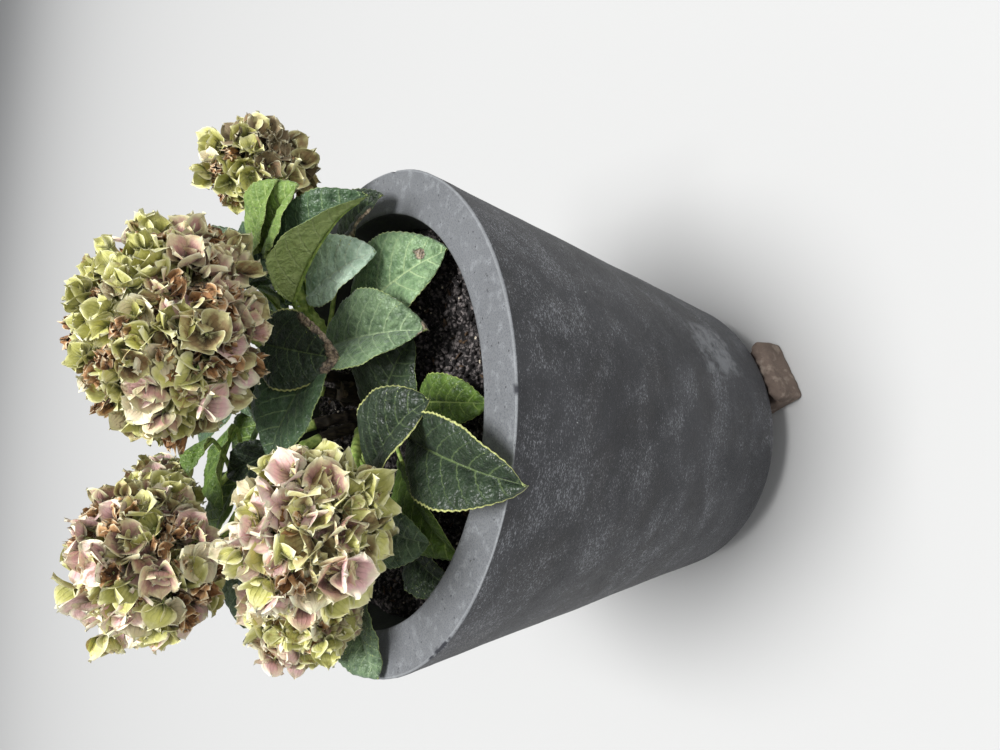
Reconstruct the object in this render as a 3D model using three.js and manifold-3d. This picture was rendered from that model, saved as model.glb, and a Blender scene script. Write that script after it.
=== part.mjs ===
// A mophead hydrangea in a round stone-grey planter that stands on three clay feet.
// Millimetres. The origin is the centre of the pot's flat underside, +Z is up, -Y is the front.

import * as THREE from "three";
import { mergeVertices } from "three/addons/utils/BufferGeometryUtils.js";
import Module from "manifold-3d";

const wasm = await Module();
wasm.setup();

// Clearance between neighbouring solids, and the length of curve left out above a cane to give it
const GAP = 0.3;
const STEM_GAP = 0.39;

// Planter
const RIM_RADIUS = 185;
const RIM_WIDTH = 33;
const POT_HEIGHT = 347;
const BASE_RADIUS = 127;
const BASE_ROUND = 28;
const BASE_CENTRE = 50;
const RIM_ROUND = 3;
const FLOOR_THICKNESS = 30;
const INNER_FLOOR_RADIUS = 98;
const POT_SIDES = 72;
const BASE_ROUND_STEPS = 5;

// Soil, flat round the canes and lumpy towards the wall
const SOIL_Z = POT_HEIGHT - 29;
const SOIL_LUMP = 2.5;
const SOIL_SIDES = 36;
const SOIL_RINGS = [80, 98, 120, 140];
const SOIL_FLAT = 85;
const SOIL_SEED = 7;

// Clay feet under the pot's edge, and the way from the pot's middle to each of them in degrees
const FOOT_TURNS = [297, 45, 153];
const FOOT_STEP = 20;
const FOOT_LIP = 33;
const FOOT_REACH = 138;
const FOOT_LENGTH = 74;
const FOOT_WIDTH = 58;
const FOOT_LIP_WIDTH = 13;
const FOOT_BEVEL = 3;

// The canes stand in a ring round the old crown
const CROWN = new THREE.Vector3(18, 38, SOIL_Z);
const CROWN_RADIUS = 13;
const CROWN_TOP_RADIUS = 7.8;
const CROWN_SIDES = 10;
const CROWN_HEIGHT = 30;
const CROWN_LEAN = new THREE.Vector3(2, 3, 0);
const CANE_RING = 23;
const CANE_FOOT_RADIUS = 5.2;
const SHOOT_TIP_RADIUS = 2.6;
const CANE_SHARE = 0.3;
const SHOOT_BEND = { out: 0.18, up: 0.75 };
const LIMB_SIDES = 6;
const CANE_STEPS = 3;
const STEM_STEPS = 5;

// Leaves. Shares run along the blade, from 0 at its foot to 1 at its tip. The outline is a sine arch
// that OUTLINE_LEAN makes widest nearer the foot and OUTLINE_FULLNESS makes broader at both ends.
const BLADE_THICKNESS = 1.8;
const BLADE_STATIONS = [0.1, 0.3, 0.52, 0.74, 0.91];
const BLADE_ARCH = 0.06;
const OUTLINE_LEAN = 0.88;
const OUTLINE_FULLNESS = 0.8;
const STALK = { radius: 1.8, tipShare: 0.45, sides: 4, ends: 0.16, behind: 0.12, lean: 0.35 };

// The room a side leaf needs: to the pot and shoots, to other leaves, to a head, and past the rim
const CLEARANCE = 5;
const LEAF_CLEARANCE = 9;
const HEAD_CLEARANCE = 2;
const LEAF_OVERHANG = 30;

// Flower heads. Each floret is a shallow cup whose four lobes stand out past the notches between them.
const CORE_SHARE = 0.8;
const CORE_DETAIL = 1;
const FLORET_SPACING = 30;
const FLORET = { shortest: 14.4, longest: 18.4, notch: 0.55, dip: 3, lobeRise: 1.5, notchDrop: 1, root: 14 };
const FLORET_SINK = { least: 3, most: 8 };
const HEAD_COVER = 0.8;
const HEAD_STALK_RUN = 12;
const FIRST_HEAD_SEED = 101;

// Each shoot: where its cane stands in the ring, the top of its leafy part,
// and the middle and half axes of the flower head on it, where it has one.
const SHOOTS = {
  centre: { ring: 60, top: [55, 28, 424], head: [50, 10, 489], axes: [76, 66, 62] },
  right: { ring: 10, top: [146, 44, 408], head: [183, 43, 427], axes: [39, 42, 44] },
  left: { ring: 170, top: [-85, 50, 425], head: [-104, 40, 480], axes: [60, 54, 56] },
  front: { ring: 235, top: [-62, -72, 380], head: [-69, -94, 428], axes: [52, 50, 48] },
  side: { ring: 203, top: [-112, -12, 362], head: [-132, -29, 400], axes: [42, 42, 40] },
  rear: { ring: 130, top: [-57, 112, 414], head: [-68, 124, 453], axes: [38, 38, 36] },
  low: { ring: 285, top: [-2, -46, 342] },
  back: { ring: 95, top: [42, 118, 392] },
};

// The leaves that show from the front, by shoot. A row holds its place on the shoot (0 at the soil, 1 at
// the top), the foot of its blade, the way it points and rises in degrees, its length and width,
// its roll, and the angle that its halves fold up by.
const FRONT_LEAVES = {
  low: [
    [0.95, [-13, -83, 356], 259, -1, 118, 60, 2, 24],
    [0.4, [-2, -7, 340], 321, 2, 76, 72, 18, 11],
    [0.7, [12, -53, 332], 269, -1, 79, 40, 0, 17],
    [0.6, [-31, -35, 334], 235, 1, 98, 50, 8, 20],
  ],
  front: [
    [0.6, [-38, -57, 368], 304, 4, 88, 64, -5, 20],
    [0.4, [-76, -28, 350], 266, -4, 69, 46, 0, 17],
  ],
  side: [
    [0.4, [-92, -44, 328], 254, 2, 60, 40, 0, 17],
    [0.9, [-129, -16, 354], 219, 0, 60, 46, -10, 11],
  ],
  centre: [
    [0.5, [51, 16, 372], 275, -12, 104, 66, -12, 26],
    [0.42, [74, 21, 351], 292, -7, 114, 72, 5, 11],
    [0.9, [51, 36, 418], 260, -24, 78, 60, 0, 14],
    [0.6, [47, -12, 385], 160, 18, 90, 68, -15, 11],
    [0.95, [66, 58, 420], 278, -3, 44, 32, 0, 28],
  ],
  right: [
    [0.55, [83, 23, 400], 305, -4, 111, 70, -12, 56],
    [0.45, [90, 31, 384], 291, -12, 77, 54, 0, 17],
    [0.35, [130, 43, 354], 290, 7, 85, 44, -5, 14],
    [0.9, [117, 32, 418], 299, 5, 74, 48, 5, 17],
    [0.95, [114, 47, 418], 303, 12, 80, 42, 6, 17],
    [0.6, [85, 42, 394], 326, 50, 48, 46, 165, 11],
    [0.5, [69, 50, 388], 345, 50, 40, 40, 165, 11],
  ],
  rear: [
    [0.8, [-10, 108, 408], 215, 16, 80, 34, -10, 23],
    [0.9, [-20, 60, 440], 203, 30, 34, 28, -20, 17],
  ],
  left: [
    [0.6, [-27, 42, 388], 114, 30, 60, 34, -10, 23],
  ],
};

// The leaves on the sides and at the back, by shoot: where each leaves it, the way it points and rises,
// and its length
const SIDE_LEAVES = {
  right: [[0.45, 20, 0, 84], [0.65, 60, 6, 88], [0.8, 95, 14, 80], [0.95, 115, 30, 72]],
  back: [[0.5, 27, 2, 88], [0.6, 143, 4, 84], [0.75, 60, 6, 78], [0.8, 127, 12, 86], [1, 90, 36, 76]],
  rear: [[0.6, 0, 20, 86], [0.65, 145, 2, 88], [0.5, 10, 20, 76]],
  left: [[0.4, 150, -2, 82], [0.65, 180, 2, 88]],
  side: [[0.5, 163, 4, 84], [0.5, 100, 6, 80]],
  front: [[0.65, 140, 12, 84]],
  centre: [[0.95, 90, 18, 86]],
};
const SIDE_LEAF = { slimness: 0.62, stalk: 0.3, lift: 18, fold: 16, roll: 6, seed: 7 };

const TINT = {
  rim: 0x7d8084,
  clay: 0x6b5f59,
  soil: 0x1d1a18,
  wood: 0x7a6a4c,
  leaf: 0x3f5c38,
  bloom: 0xa3a36c,
};

function material(color, roughness) {
  return new THREE.MeshStandardMaterial({ color, roughness, metalness: 0 });
}

// The same sequence of numbers from 0 to 1 for the same seed
function seeded(seed) {
  let state = seed;
  return () => {
    state = (state * 16807) % 2147483647;
    return (state - 1) / 2147483646;
  };
}

// Unit vector from a compass turn about +Z and a rise above the horizontal
function heading(turn, rise) {
  const a = THREE.MathUtils.degToRad(turn);
  const e = THREE.MathUtils.degToRad(rise);
  return new THREE.Vector3(Math.cos(a) * Math.cos(e), Math.sin(a) * Math.cos(e), Math.sin(e));
}

function surface(points, triangles) {
  const geometry = new THREE.BufferGeometry();
  const numbers = points.flatMap((point) => point.toArray());
  geometry.setAttribute("position", new THREE.Float32BufferAttribute(numbers, 3));
  geometry.setIndex(triangles.flat());
  return geometry;
}

function solid(geometry) {
  const bare = geometry.clone();
  bare.deleteAttribute("normal");
  bare.deleteAttribute("uv");
  const merged = mergeVertices(bare, 1e-3);
  const vertProperties = new Float32Array(merged.attributes.position.array);
  const triVerts = new Uint32Array(merged.index.array);
  return new wasm.Manifold(new wasm.Mesh({ numProp: 3, vertProperties, triVerts }));
}

// One closed body: the largest piece of a union, with loose scraps and sealed hollows left out
function body(solids) {
  const joined = wasm.Manifold.union(solids);
  const pieces = joined.decompose();
  const largest = pieces.reduce((a, b) => (a.volume() > b.volume() ? a : b));
  const mesh = largest.getMesh();
  const geometry = new THREE.BufferGeometry();
  geometry.setAttribute("position", new THREE.Float32BufferAttribute(mesh.vertProperties, 3));
  geometry.setIndex(Array.from(mesh.triVerts));
  return geometry;
}

// A round limb that tapers along a curve, between two shares of its length. Its first ring is square
// to the curve, or level where it stands on the soil.
function limb(curve, { from = 0, to = 1, radii, sides = LIMB_SIDES, steps = CANE_STEPS, level = false }) {
  const points = [];
  const triangles = [];
  for (let i = 0; i <= steps; i += 1) {
    const share = i / steps;
    const u = from + (to - from) * share;
    const middle = curve.getPoint(u);
    const ahead = curve.getTangent(u);
    const flat = i === 0 && level ? new THREE.Vector3(0, 0, 1) : ahead;
    const side = new THREE.Vector3(1, 0.3, 0).cross(flat).normalize();
    const across = flat.clone().cross(side).normalize();
    const radius = THREE.MathUtils.lerp(radii[0], radii[1], share);
    for (let k = 0; k < sides; k += 1) {
      const angle = (2 * Math.PI * k) / sides;
      const spoke = side.clone().multiplyScalar(Math.cos(angle)).addScaledVector(across, Math.sin(angle));
      points.push(middle.clone().addScaledVector(spoke, radius));
    }
  }
  for (let i = 0; i < steps; i += 1) {
    for (let k = 0; k < sides; k += 1) {
      const a = i * sides + k;
      const b = i * sides + ((k + 1) % sides);
      triangles.push([a, b, b + sides], [a, b + sides, a + sides]);
    }
  }
  const last = steps * sides;
  for (let k = 1; k < sides - 1; k += 1) {
    triangles.push([0, k + 1, k], [last, last + k, last + k + 1]);
  }
  return surface(points, triangles);
}

// The line of a shoot from its foot on the soil to its leafy top: upright first, then outwards
function shootCurve(shoot) {
  const foot = CROWN.clone().addScaledVector(heading(shoot.ring, 0), CANE_RING);
  foot.z += GAP;
  const top = new THREE.Vector3(...shoot.top);
  const bend = foot.clone().lerp(top, SHOOT_BEND.out);
  bend.z = foot.z + SHOOT_BEND.up * (top.z - foot.z);
  return new THREE.QuadraticBezierCurve3(foot, bend, top);
}

function halfWidth(share, width) {
  return (width / 2) * Math.sin(Math.PI * share ** OUTLINE_LEAN) ** OUTLINE_FULLNESS;
}

// A leaf blade's own axes: ahead to its tip, side to its left edge, up out of its upper face
function bladeAxes(leaf) {
  const ahead = heading(leaf.turn, leaf.rise);
  const level = heading(leaf.turn + 90, 0);
  const roll = THREE.MathUtils.degToRad(leaf.roll);
  const over = ahead.clone().cross(level);
  const side = level.clone().multiplyScalar(Math.cos(roll)).addScaledVector(over, Math.sin(roll));
  return { ahead, side, up: ahead.clone().cross(side) };
}

// A point of the blade: share runs from its foot to its tip, edge from -1 to 1 across it
function bladePoint(leaf, axes, share, edge) {
  const fold = THREE.MathUtils.degToRad(leaf.fold);
  const reach = halfWidth(share, leaf.width) * Math.abs(edge);
  const arch = BLADE_ARCH * leaf.length * 4 * share * (1 - share);
  return leaf.foot
    .clone()
    .addScaledVector(axes.ahead, share * leaf.length)
    .addScaledVector(axes.side, Math.sign(edge) * reach * Math.cos(fold))
    .addScaledVector(axes.up, reach * Math.sin(fold) + arch);
}

// A blade that is thick at its midrib and thin at its edges
function blade(leaf) {
  const axes = bladeAxes(leaf);
  const half = axes.up.clone().multiplyScalar(BLADE_THICKNESS / 2);
  const points = [bladePoint(leaf, axes, 0, 0)];
  for (const share of BLADE_STATIONS) {
    const rib = bladePoint(leaf, axes, share, 0);
    points.push(bladePoint(leaf, axes, share, 1));
    points.push(rib.clone().add(half));
    points.push(bladePoint(leaf, axes, share, -1));
    points.push(rib.clone().sub(half));
  }
  points.push(bladePoint(leaf, axes, 1, 0));
  const tip = points.length - 1;
  const triangles = [];
  for (let k = 0; k < 4; k += 1) {
    const next = (k + 1) % 4;
    triangles.push([0, 1 + next, 1 + k]);
    for (let i = 0; i < BLADE_STATIONS.length - 1; i += 1) {
      const a = 1 + 4 * i + k;
      const b = 1 + 4 * i + next;
      triangles.push([a, b, b + 4], [a, b + 4, a + 4]);
    }
    triangles.push([tip, tip - 4 + k, tip - 4 + next]);
  }
  return surface(points, triangles);
}

// The stalk from inside the shoot into the blade's midrib
function stalk(leaf, curve) {
  const start = curve.getPoint(leaf.at);
  const end = bladePoint(leaf, bladeAxes(leaf), STALK.ends, 0);
  const bend = leaf.foot.clone().addScaledVector(heading(leaf.turn, leaf.rise), -STALK.behind * leaf.length);
  bend.lerp(start, STALK.lean);
  const path = new THREE.QuadraticBezierCurve3(start, bend, end);
  const radii = [STALK.radius, STALK.radius * STALK.tipShare];
  return limb(path, { radii, sides: STALK.sides });
}

function samplePoints(leaf) {
  const axes = bladeAxes(leaf);
  const shares = [0.02, 0.15, 0.3, 0.45, 0.6, 0.75, 0.9, 1];
  const edges = [-1, -0.5, 0, 0.5, 1];
  return shares.flatMap((share) => edges.map((edge) => bladePoint(leaf, axes, share, edge)));
}

function insideHead(point, shoot, margin) {
  if (!shoot.head) {
    return false;
  }
  const [x, y, z] = shoot.head;
  const [a, b, c] = shoot.axes.map((axis) => axis + margin);
  return Math.hypot((point.x - x) / a, (point.y - y) / b, (point.z - z) / c) < 1;
}

// A side leaf is left out where it would touch another shoot, another shoot's leaf, a head or the rim
function hasRoom(leaf, leaves) {
  const samples = samplePoints(leaf);
  const rimInner = RIM_RADIUS - RIM_WIDTH;
  for (const point of samples) {
    const reach = Math.hypot(point.x, point.y);
    const lowest = reach > rimInner - CLEARANCE ? POT_HEIGHT + CLEARANCE : SOIL_Z + CLEARANCE;
    if (point.z < lowest || reach > RIM_RADIUS + LEAF_OVERHANG) {
      return false;
    }
    for (const [name, shoot] of Object.entries(SHOOTS)) {
      if (insideHead(point, shoot, HEAD_CLEARANCE)) {
        return false;
      }
      const steps = name === leaf.on ? [] : [0.1, 0.25, 0.4, 0.55, 0.7, 0.85, 1];
      if (steps.some((u) => curves[name].getPoint(u).distanceTo(point) < 2 * CLEARANCE)) {
        return false;
      }
    }
  }
  const close = (point) => samples.some((sample) => sample.distanceTo(point) < LEAF_CLEARANCE);
  return !leaves.some((other) => samplePoints(other).some(close));
}

function sideLeaf(on, at, turn, rise, length, roll) {
  const foot = curves[on].getPoint(at);
  foot.addScaledVector(heading(turn, rise + SIDE_LEAF.lift), SIDE_LEAF.stalk * length);
  const width = length * SIDE_LEAF.slimness;
  return { on, at, foot, turn, rise, length, width, roll, fold: SIDE_LEAF.fold };
}

// The front leaves, then each side leaf that has room
function placeLeaves() {
  const leaves = [];
  for (const [on, rows] of Object.entries(FRONT_LEAVES)) {
    for (const [at, place, turn, rise, length, width, roll, fold] of rows) {
      leaves.push({ on, at, foot: new THREE.Vector3(...place), turn, rise, length, width, roll, fold });
    }
  }
  const next = seeded(SIDE_LEAF.seed);
  for (const [on, rows] of Object.entries(SIDE_LEAVES)) {
    for (const [at, turn, rise, length] of rows) {
      const roll = SIDE_LEAF.roll * (2 * next() - 1);
      const leaf = sideLeaf(on, at, turn, rise, length, roll);
      if (hasRoom(leaf, leaves)) {
        leaves.push(leaf);
      }
    }
  }
  return leaves;
}

// Directions spread evenly round a head, from its crown down to where the stalk enters
function headDirections(count) {
  const golden = Math.PI * (3 - Math.sqrt(5));
  return Array.from({ length: count }, (_, i) => {
    const height = 1 - (2 * HEAD_COVER * (i + 0.5)) / count;
    const reach = Math.sqrt(1 - height * height);
    return new THREE.Vector3(reach * Math.cos(golden * i), reach * Math.sin(golden * i), height);
  });
}

// A four-lobed floret as a shallow cup on a point that is sunk in the core
function floret(middle, outward, spin, reach) {
  const turned = new THREE.Quaternion().setFromUnitVectors(new THREE.Vector3(0, 0, 1), outward);
  const put = (x, y, z) => new THREE.Vector3(x, y, z).applyQuaternion(turned).add(middle);
  const points = [put(0, 0, -FLORET.dip)];
  for (let k = 0; k < 8; k += 1) {
    const angle = spin + (k * Math.PI) / 4;
    const lobe = k % 2 === 0;
    const r = lobe ? reach : FLORET.notch * reach;
    points.push(put(r * Math.cos(angle), r * Math.sin(angle), lobe ? FLORET.lobeRise : -FLORET.notchDrop));
  }
  points.push(put(0, 0, -FLORET.root));
  const triangles = [];
  for (let k = 0; k < 8; k += 1) {
    const a = 1 + k;
    const b = 1 + ((k + 1) % 8);
    triangles.push([0, a, b], [9, b, a]);
  }
  return surface(points, triangles);
}

function flowerHead(shoot, curve, seed) {
  const next = seeded(seed);
  const middle = new THREE.Vector3(...shoot.head);
  const axes = new THREE.Vector3(...shoot.axes);
  const top = curve.getPoint(1);
  const lean = middle.clone().sub(top).normalize();
  const upright = new THREE.Quaternion().setFromUnitVectors(new THREE.Vector3(0, 0, 1), lean);
  const core = new THREE.IcosahedronGeometry(1, CORE_DETAIL);
  core.scale(axes.x * CORE_SHARE, axes.y * CORE_SHARE, axes.z * CORE_SHARE);
  core.translate(middle.x, middle.y, middle.z);
  const ahead = curve.getTangent(1);
  const start = top.clone().addScaledVector(ahead, GAP);
  const bend = start.clone().addScaledVector(ahead, HEAD_STALK_RUN);
  const path = new THREE.QuadraticBezierCurve3(start, bend, middle);
  const headStalk = limb(path, { radii: [SHOOT_TIP_RADIUS, SHOOT_TIP_RADIUS] });
  const solids = [solid(core), solid(headStalk)];
  const mean = (axes.x + axes.y + axes.z) / 3;
  const count = Math.round((4 * Math.PI * mean * mean * HEAD_COVER) / (FLORET_SPACING * FLORET_SPACING));
  for (const direction of headDirections(count)) {
    const outward = direction.applyQuaternion(upright);
    const sink = THREE.MathUtils.lerp(FLORET_SINK.least, FLORET_SINK.most, next());
    const spin = next() * Math.PI;
    const reach = THREE.MathUtils.lerp(FLORET.shortest, FLORET.longest, next());
    const place = outward.clone().multiply(axes);
    place.setLength(place.length() - sink).add(middle);
    solids.push(solid(floret(place, outward, spin, reach)));
  }
  return body(solids);
}

// The pot as a lathe: a flat underside with a ring between the feet, a round edge, a leaning wall, a flat rim
function potShell() {
  const lean = Math.atan2(RIM_RADIUS - BASE_RADIUS, POT_HEIGHT);
  const along = BASE_ROUND * Math.tan((Math.PI / 2 - lean) / 2);
  const profile = [new THREE.Vector2(0, 0), new THREE.Vector2(BASE_CENTRE, 0)];
  const roundMiddle = new THREE.Vector2(BASE_RADIUS - along, BASE_ROUND);
  for (let i = 0; i <= BASE_ROUND_STEPS; i += 1) {
    const angle = -Math.PI / 2 + ((Math.PI / 2 - lean) * i) / BASE_ROUND_STEPS;
    const reach = new THREE.Vector2(Math.cos(angle), Math.sin(angle)).multiplyScalar(BASE_ROUND);
    profile.push(roundMiddle.clone().add(reach));
  }
  profile.push(new THREE.Vector2(RIM_RADIUS - RIM_ROUND * Math.tan(lean), POT_HEIGHT - RIM_ROUND));
  profile.push(new THREE.Vector2(RIM_RADIUS - RIM_ROUND, POT_HEIGHT));
  profile.push(new THREE.Vector2(RIM_RADIUS - RIM_WIDTH + RIM_ROUND, POT_HEIGHT));
  profile.push(new THREE.Vector2(RIM_RADIUS - RIM_WIDTH, POT_HEIGHT - RIM_ROUND));
  profile.push(new THREE.Vector2(INNER_FLOOR_RADIUS, FLOOR_THICKNESS));
  profile.push(new THREE.Vector2(0, FLOOR_THICKNESS));
  return body([solid(turned(profile, POT_SIDES))]);
}

// A lathe about +Z from a profile of radius and height
function turned(profile, sides) {
  const geometry = new THREE.LatheGeometry(profile, sides);
  geometry.rotateX(Math.PI / 2);
  return geometry;
}

// Soil as rings that end 0.3 mm short of the pot's inside, with a low lumpy top
function soilFill() {
  const next = seeded(SOIL_SEED);
  const innerTop = RIM_RADIUS - RIM_WIDTH;
  const slope = (innerTop - INNER_FLOOR_RADIUS) / (POT_HEIGHT - RIM_ROUND - FLOOR_THICKNESS);
  const bottom = FLOOR_THICKNESS + GAP;
  const inset = GAP * 3;
  const topRadius = INNER_FLOOR_RADIUS + slope * (SOIL_Z - FLOOR_THICKNESS) - inset;
  const lumpAt = (radius) => (radius > SOIL_FLAT ? SOIL_LUMP : 0);
  const rings = [
    { radius: INNER_FLOOR_RADIUS - inset, z: bottom, lump: 0 },
    { radius: topRadius, z: SOIL_Z, lump: 0 },
    ...SOIL_RINGS.toReversed().map((radius) => ({ radius, z: SOIL_Z, lump: lumpAt(radius) })),
  ];
  const points = [new THREE.Vector3(0, 0, bottom)];
  for (const ring of rings) {
    for (let k = 0; k < SOIL_SIDES; k += 1) {
      const angle = (2 * Math.PI * k) / SOIL_SIDES;
      const z = ring.z + ring.lump * (2 * next() - 1);
      points.push(new THREE.Vector3(ring.radius * Math.cos(angle), ring.radius * Math.sin(angle), z));
    }
  }
  points.push(new THREE.Vector3(0, 0, SOIL_Z));
  const last = points.length - 1;
  const triangles = [];
  for (let k = 0; k < SOIL_SIDES; k += 1) {
    const m = (k + 1) % SOIL_SIDES;
    triangles.push([0, 1 + m, 1 + k]);
    for (let i = 0; i < rings.length - 1; i += 1) {
      const a = 1 + i * SOIL_SIDES + k;
      const b = 1 + i * SOIL_SIDES + m;
      triangles.push([a, b, b + SOIL_SIDES], [a, b + SOIL_SIDES, a + SOIL_SIDES]);
    }
    triangles.push([last, last - SOIL_SIDES + k, last - SOIL_SIDES + m]);
  }
  return surface(points, triangles);
}

// A foot's side view: a low step that the pot stands on and a rounded lip outside it
function clayFoot() {
  const outline = new THREE.Shape();
  const lipInner = FOOT_REACH - FOOT_LIP_WIDTH;
  outline.moveTo(FOOT_REACH - FOOT_LENGTH, 0);
  outline.lineTo(FOOT_REACH, 0);
  const lipRound = FOOT_LIP_WIDTH / 2;
  outline.lineTo(FOOT_REACH, FOOT_LIP - lipRound);
  outline.absarc(FOOT_REACH - lipRound, FOOT_LIP - lipRound, lipRound, 0, Math.PI);
  outline.lineTo(lipInner, FOOT_STEP - GAP);
  outline.lineTo(FOOT_REACH - FOOT_LENGTH, FOOT_STEP - GAP);
  const geometry = new THREE.ExtrudeGeometry(outline, {
    depth: FOOT_WIDTH - 2 * FOOT_BEVEL,
    bevelSize: FOOT_BEVEL,
    bevelThickness: FOOT_BEVEL,
    bevelOffset: -FOOT_BEVEL,
    bevelSegments: 1,
    curveSegments: 6,
  });
  geometry.translate(0, 0, FOOT_BEVEL - FOOT_WIDTH / 2);
  geometry.rotateX(Math.PI / 2);
  return geometry;
}

// The old woody crown that the canes spring round
function crownStump() {
  const foot = CROWN.clone();
  foot.z += GAP;
  const head = foot.clone().add(CROWN_LEAN);
  head.z += CROWN_HEIGHT;
  const radii = [CROWN_RADIUS, CROWN_TOP_RADIUS];
  return limb(new THREE.LineCurve3(foot, head), { radii, sides: CROWN_SIDES, level: true });
}

const plant = new THREE.Group();
const curves = Object.fromEntries(Object.entries(SHOOTS).map(([name, shoot]) => [name, shootCurve(shoot)]));
const leaves = placeLeaves();

function add(name, geometry, color, roughness) {
  const mesh = new THREE.Mesh(geometry, material(color, roughness));
  mesh.name = name;
  plant.add(mesh);
  return mesh;
}

add("pot", potShell(), TINT.rim, 0.85);
add("soil", soilFill(), TINT.soil, 0.95);
FOOT_TURNS.forEach((turn, k) => {
  const foot = add(`pot_foot_${k + 1}`, clayFoot(), TINT.clay, 0.8);
  foot.position.z = -FOOT_STEP;
  foot.rotation.z = THREE.MathUtils.degToRad(turn);
});
add("crown", crownStump(), TINT.wood, 0.85);

let seed = FIRST_HEAD_SEED;
for (const [name, shoot] of Object.entries(SHOOTS)) {
  const curve = curves[name];
  const waist = CANE_FOOT_RADIUS + (SHOOT_TIP_RADIUS - CANE_FOOT_RADIUS) * CANE_SHARE;
  const stemStart = CANE_SHARE + STEM_GAP / curve.getLength();
  const cane = limb(curve, { to: CANE_SHARE, radii: [CANE_FOOT_RADIUS, waist], level: true });
  add(`cane_${name}`, cane, TINT.wood, 0.8);
  const stem = limb(curve, { from: stemStart, radii: [waist, SHOOT_TIP_RADIUS], steps: STEM_STEPS });
  const own = leaves.filter((leaf) => leaf.on === name);
  const parts = own.flatMap((leaf) => [solid(blade(leaf)), solid(stalk(leaf, curve))]);
  add(`leaves_${name}`, body([solid(stem), ...parts]), TINT.leaf, 0.55);
  if (shoot.head) {
    add(`bloom_${name}`, flowerHead(shoot, curve, seed), TINT.bloom, 0.75);
    seed += 1;
  }
}

export default plant;
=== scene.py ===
import math

import bpy
import numpy as np
from mathutils import Matrix, Quaternion


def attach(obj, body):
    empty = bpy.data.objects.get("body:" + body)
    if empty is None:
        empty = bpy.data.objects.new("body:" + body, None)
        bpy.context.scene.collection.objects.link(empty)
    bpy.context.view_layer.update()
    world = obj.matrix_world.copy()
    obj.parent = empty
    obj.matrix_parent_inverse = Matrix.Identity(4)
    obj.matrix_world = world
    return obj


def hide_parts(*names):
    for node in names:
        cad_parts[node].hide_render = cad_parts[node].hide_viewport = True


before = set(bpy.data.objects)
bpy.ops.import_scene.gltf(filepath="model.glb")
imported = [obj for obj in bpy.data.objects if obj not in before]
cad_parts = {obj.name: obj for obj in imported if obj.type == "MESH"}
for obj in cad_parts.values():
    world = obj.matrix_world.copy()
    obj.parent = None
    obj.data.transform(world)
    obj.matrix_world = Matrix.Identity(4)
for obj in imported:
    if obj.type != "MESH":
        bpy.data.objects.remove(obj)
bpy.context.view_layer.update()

# A mophead hydrangea in a round stone-grey planter on three clay feet.
# Sizes are in millimetres, as in the part's source, and become metres when a mesh is made.
MM = 0.001

# Where the sequences of random numbers start, and how many sides each round limb has
SEEDS = {
    "pot": 3, "soil": 11, "crumbs": 21, "feet": 30, "canes": 50,
    "crown": 70, "stubs": 80, "tones": 90, "heads": 101, "blades": 200,
}
SIDES = {"cane": 16, "crown": 24, "stub": 12, "stem": 12, "stalk": 8, "floret_stalk": 6}

# Planter. Its wall swells out a little between foot and rim, and a pale scuff is low on it.
RIM_RADIUS = 185
RIM_WIDTH = 33
POT_HEIGHT = 347
BASE_RADIUS = 127
BASE_ROUND = 28
FLOOR_THICKNESS = 30
INNER_FLOOR_RADIUS = 98
EDGE_ROUND = 1.1
WALL_SWELL = 1.25
POT_WAVES = [(130, 0.45), (16, 0.14)]
POT_SIDES = 432
SCUFF = {"turn": 299.5, "height": 95, "half_turn": 12, "half_height": 40}

# Chips out of the rim's outer edge: the turn of each in degrees, how wide and how deep it is
CHIPS = [
    (275.5, 4, 2.2), (216.5, 7, 0.8), (219, 8, 1.3), (221.6, 10, 1.1),
    (224.2, 5, 0.7), (352, 4, 1.2), (120, 6, 1.5), (60, 4, 1.2),
]

# Soil, with crumbs, bits of bark and grit: the share of all bits where the second and third kind
# start, each kind's least and largest size, and how it is stretched
SOIL_Z = POT_HEIGHT - 29
SOIL_RADIUS = RIM_RADIUS - RIM_WIDTH - 5.2
SOIL_RINGS = 78
SOIL_SIDES = 288
SKIRT_DEPTH = 60
SOIL_WAVES = [(70, 2.2), (19, 1.5), (8, 1.1)]
SOIL_CLODS = {"pitch": 4.5, "height": 2}
CRUMB_COUNT = 3400
CRUMB_SHARES = (0.88, 0.94)
CRUMB_SIZES = [(1.1, 3.2), (1, 2.2), (0.6, 1.4)]
CRUMB_STRETCH = [(1, 0.9, 0.75), (2.6, 1, 0.35), (1, 0.9, 0.8)]
CRUMB_ROUGHNESS = 0.22
CRUMB_LIFT = 0.35

# Clay feet: the way each points in degrees, the grid in metres that softens it, and its row of beads
GROUND_Z = -20
FOOT_TURNS = [297, 45, 153]
FOOT_GRID = 0.0015
FOOT_WAVES = [(26, 0.5), (6, 0.28)]
BEAD = {"reach": 127.5, "pitch": 10, "height": 12, "swell": 2.3, "radius": 3.3}

# The canes stand in a ring round the old crown, which has cut stubs
CROWN = np.array([18, 38, SOIL_Z])
CROWN_RADIUS = 13
CROWN_TOP_RADIUS = 7.8
CROWN_AXIS = [2, 3, 30]
STUB_FOOT = CROWN + [1, 2, 17]
STUB_RADII = (4.6, 3.2)
STUBS = [(40, 55, 17), (165, 48, 14), (260, 60, 15), (320, 40, 12)]
CANE_RING = 23
CANE_FOOT_RADIUS = 5.2
CANE_KNOT = {"count": 9, "swell": 0.16, "spread": 0.01}
BARK_RIDGES = {"cane": 0.22, "crown": 0.3, "stub": 0.2}
SHOOT_TIP_RADIUS = 2.6
CANE_SHARE = 0.3
LEAF_KNOT = {"swell": 1.1, "reach": 0.018}
SHOOT_BEND = {"out": 0.18, "up": 0.75}

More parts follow.
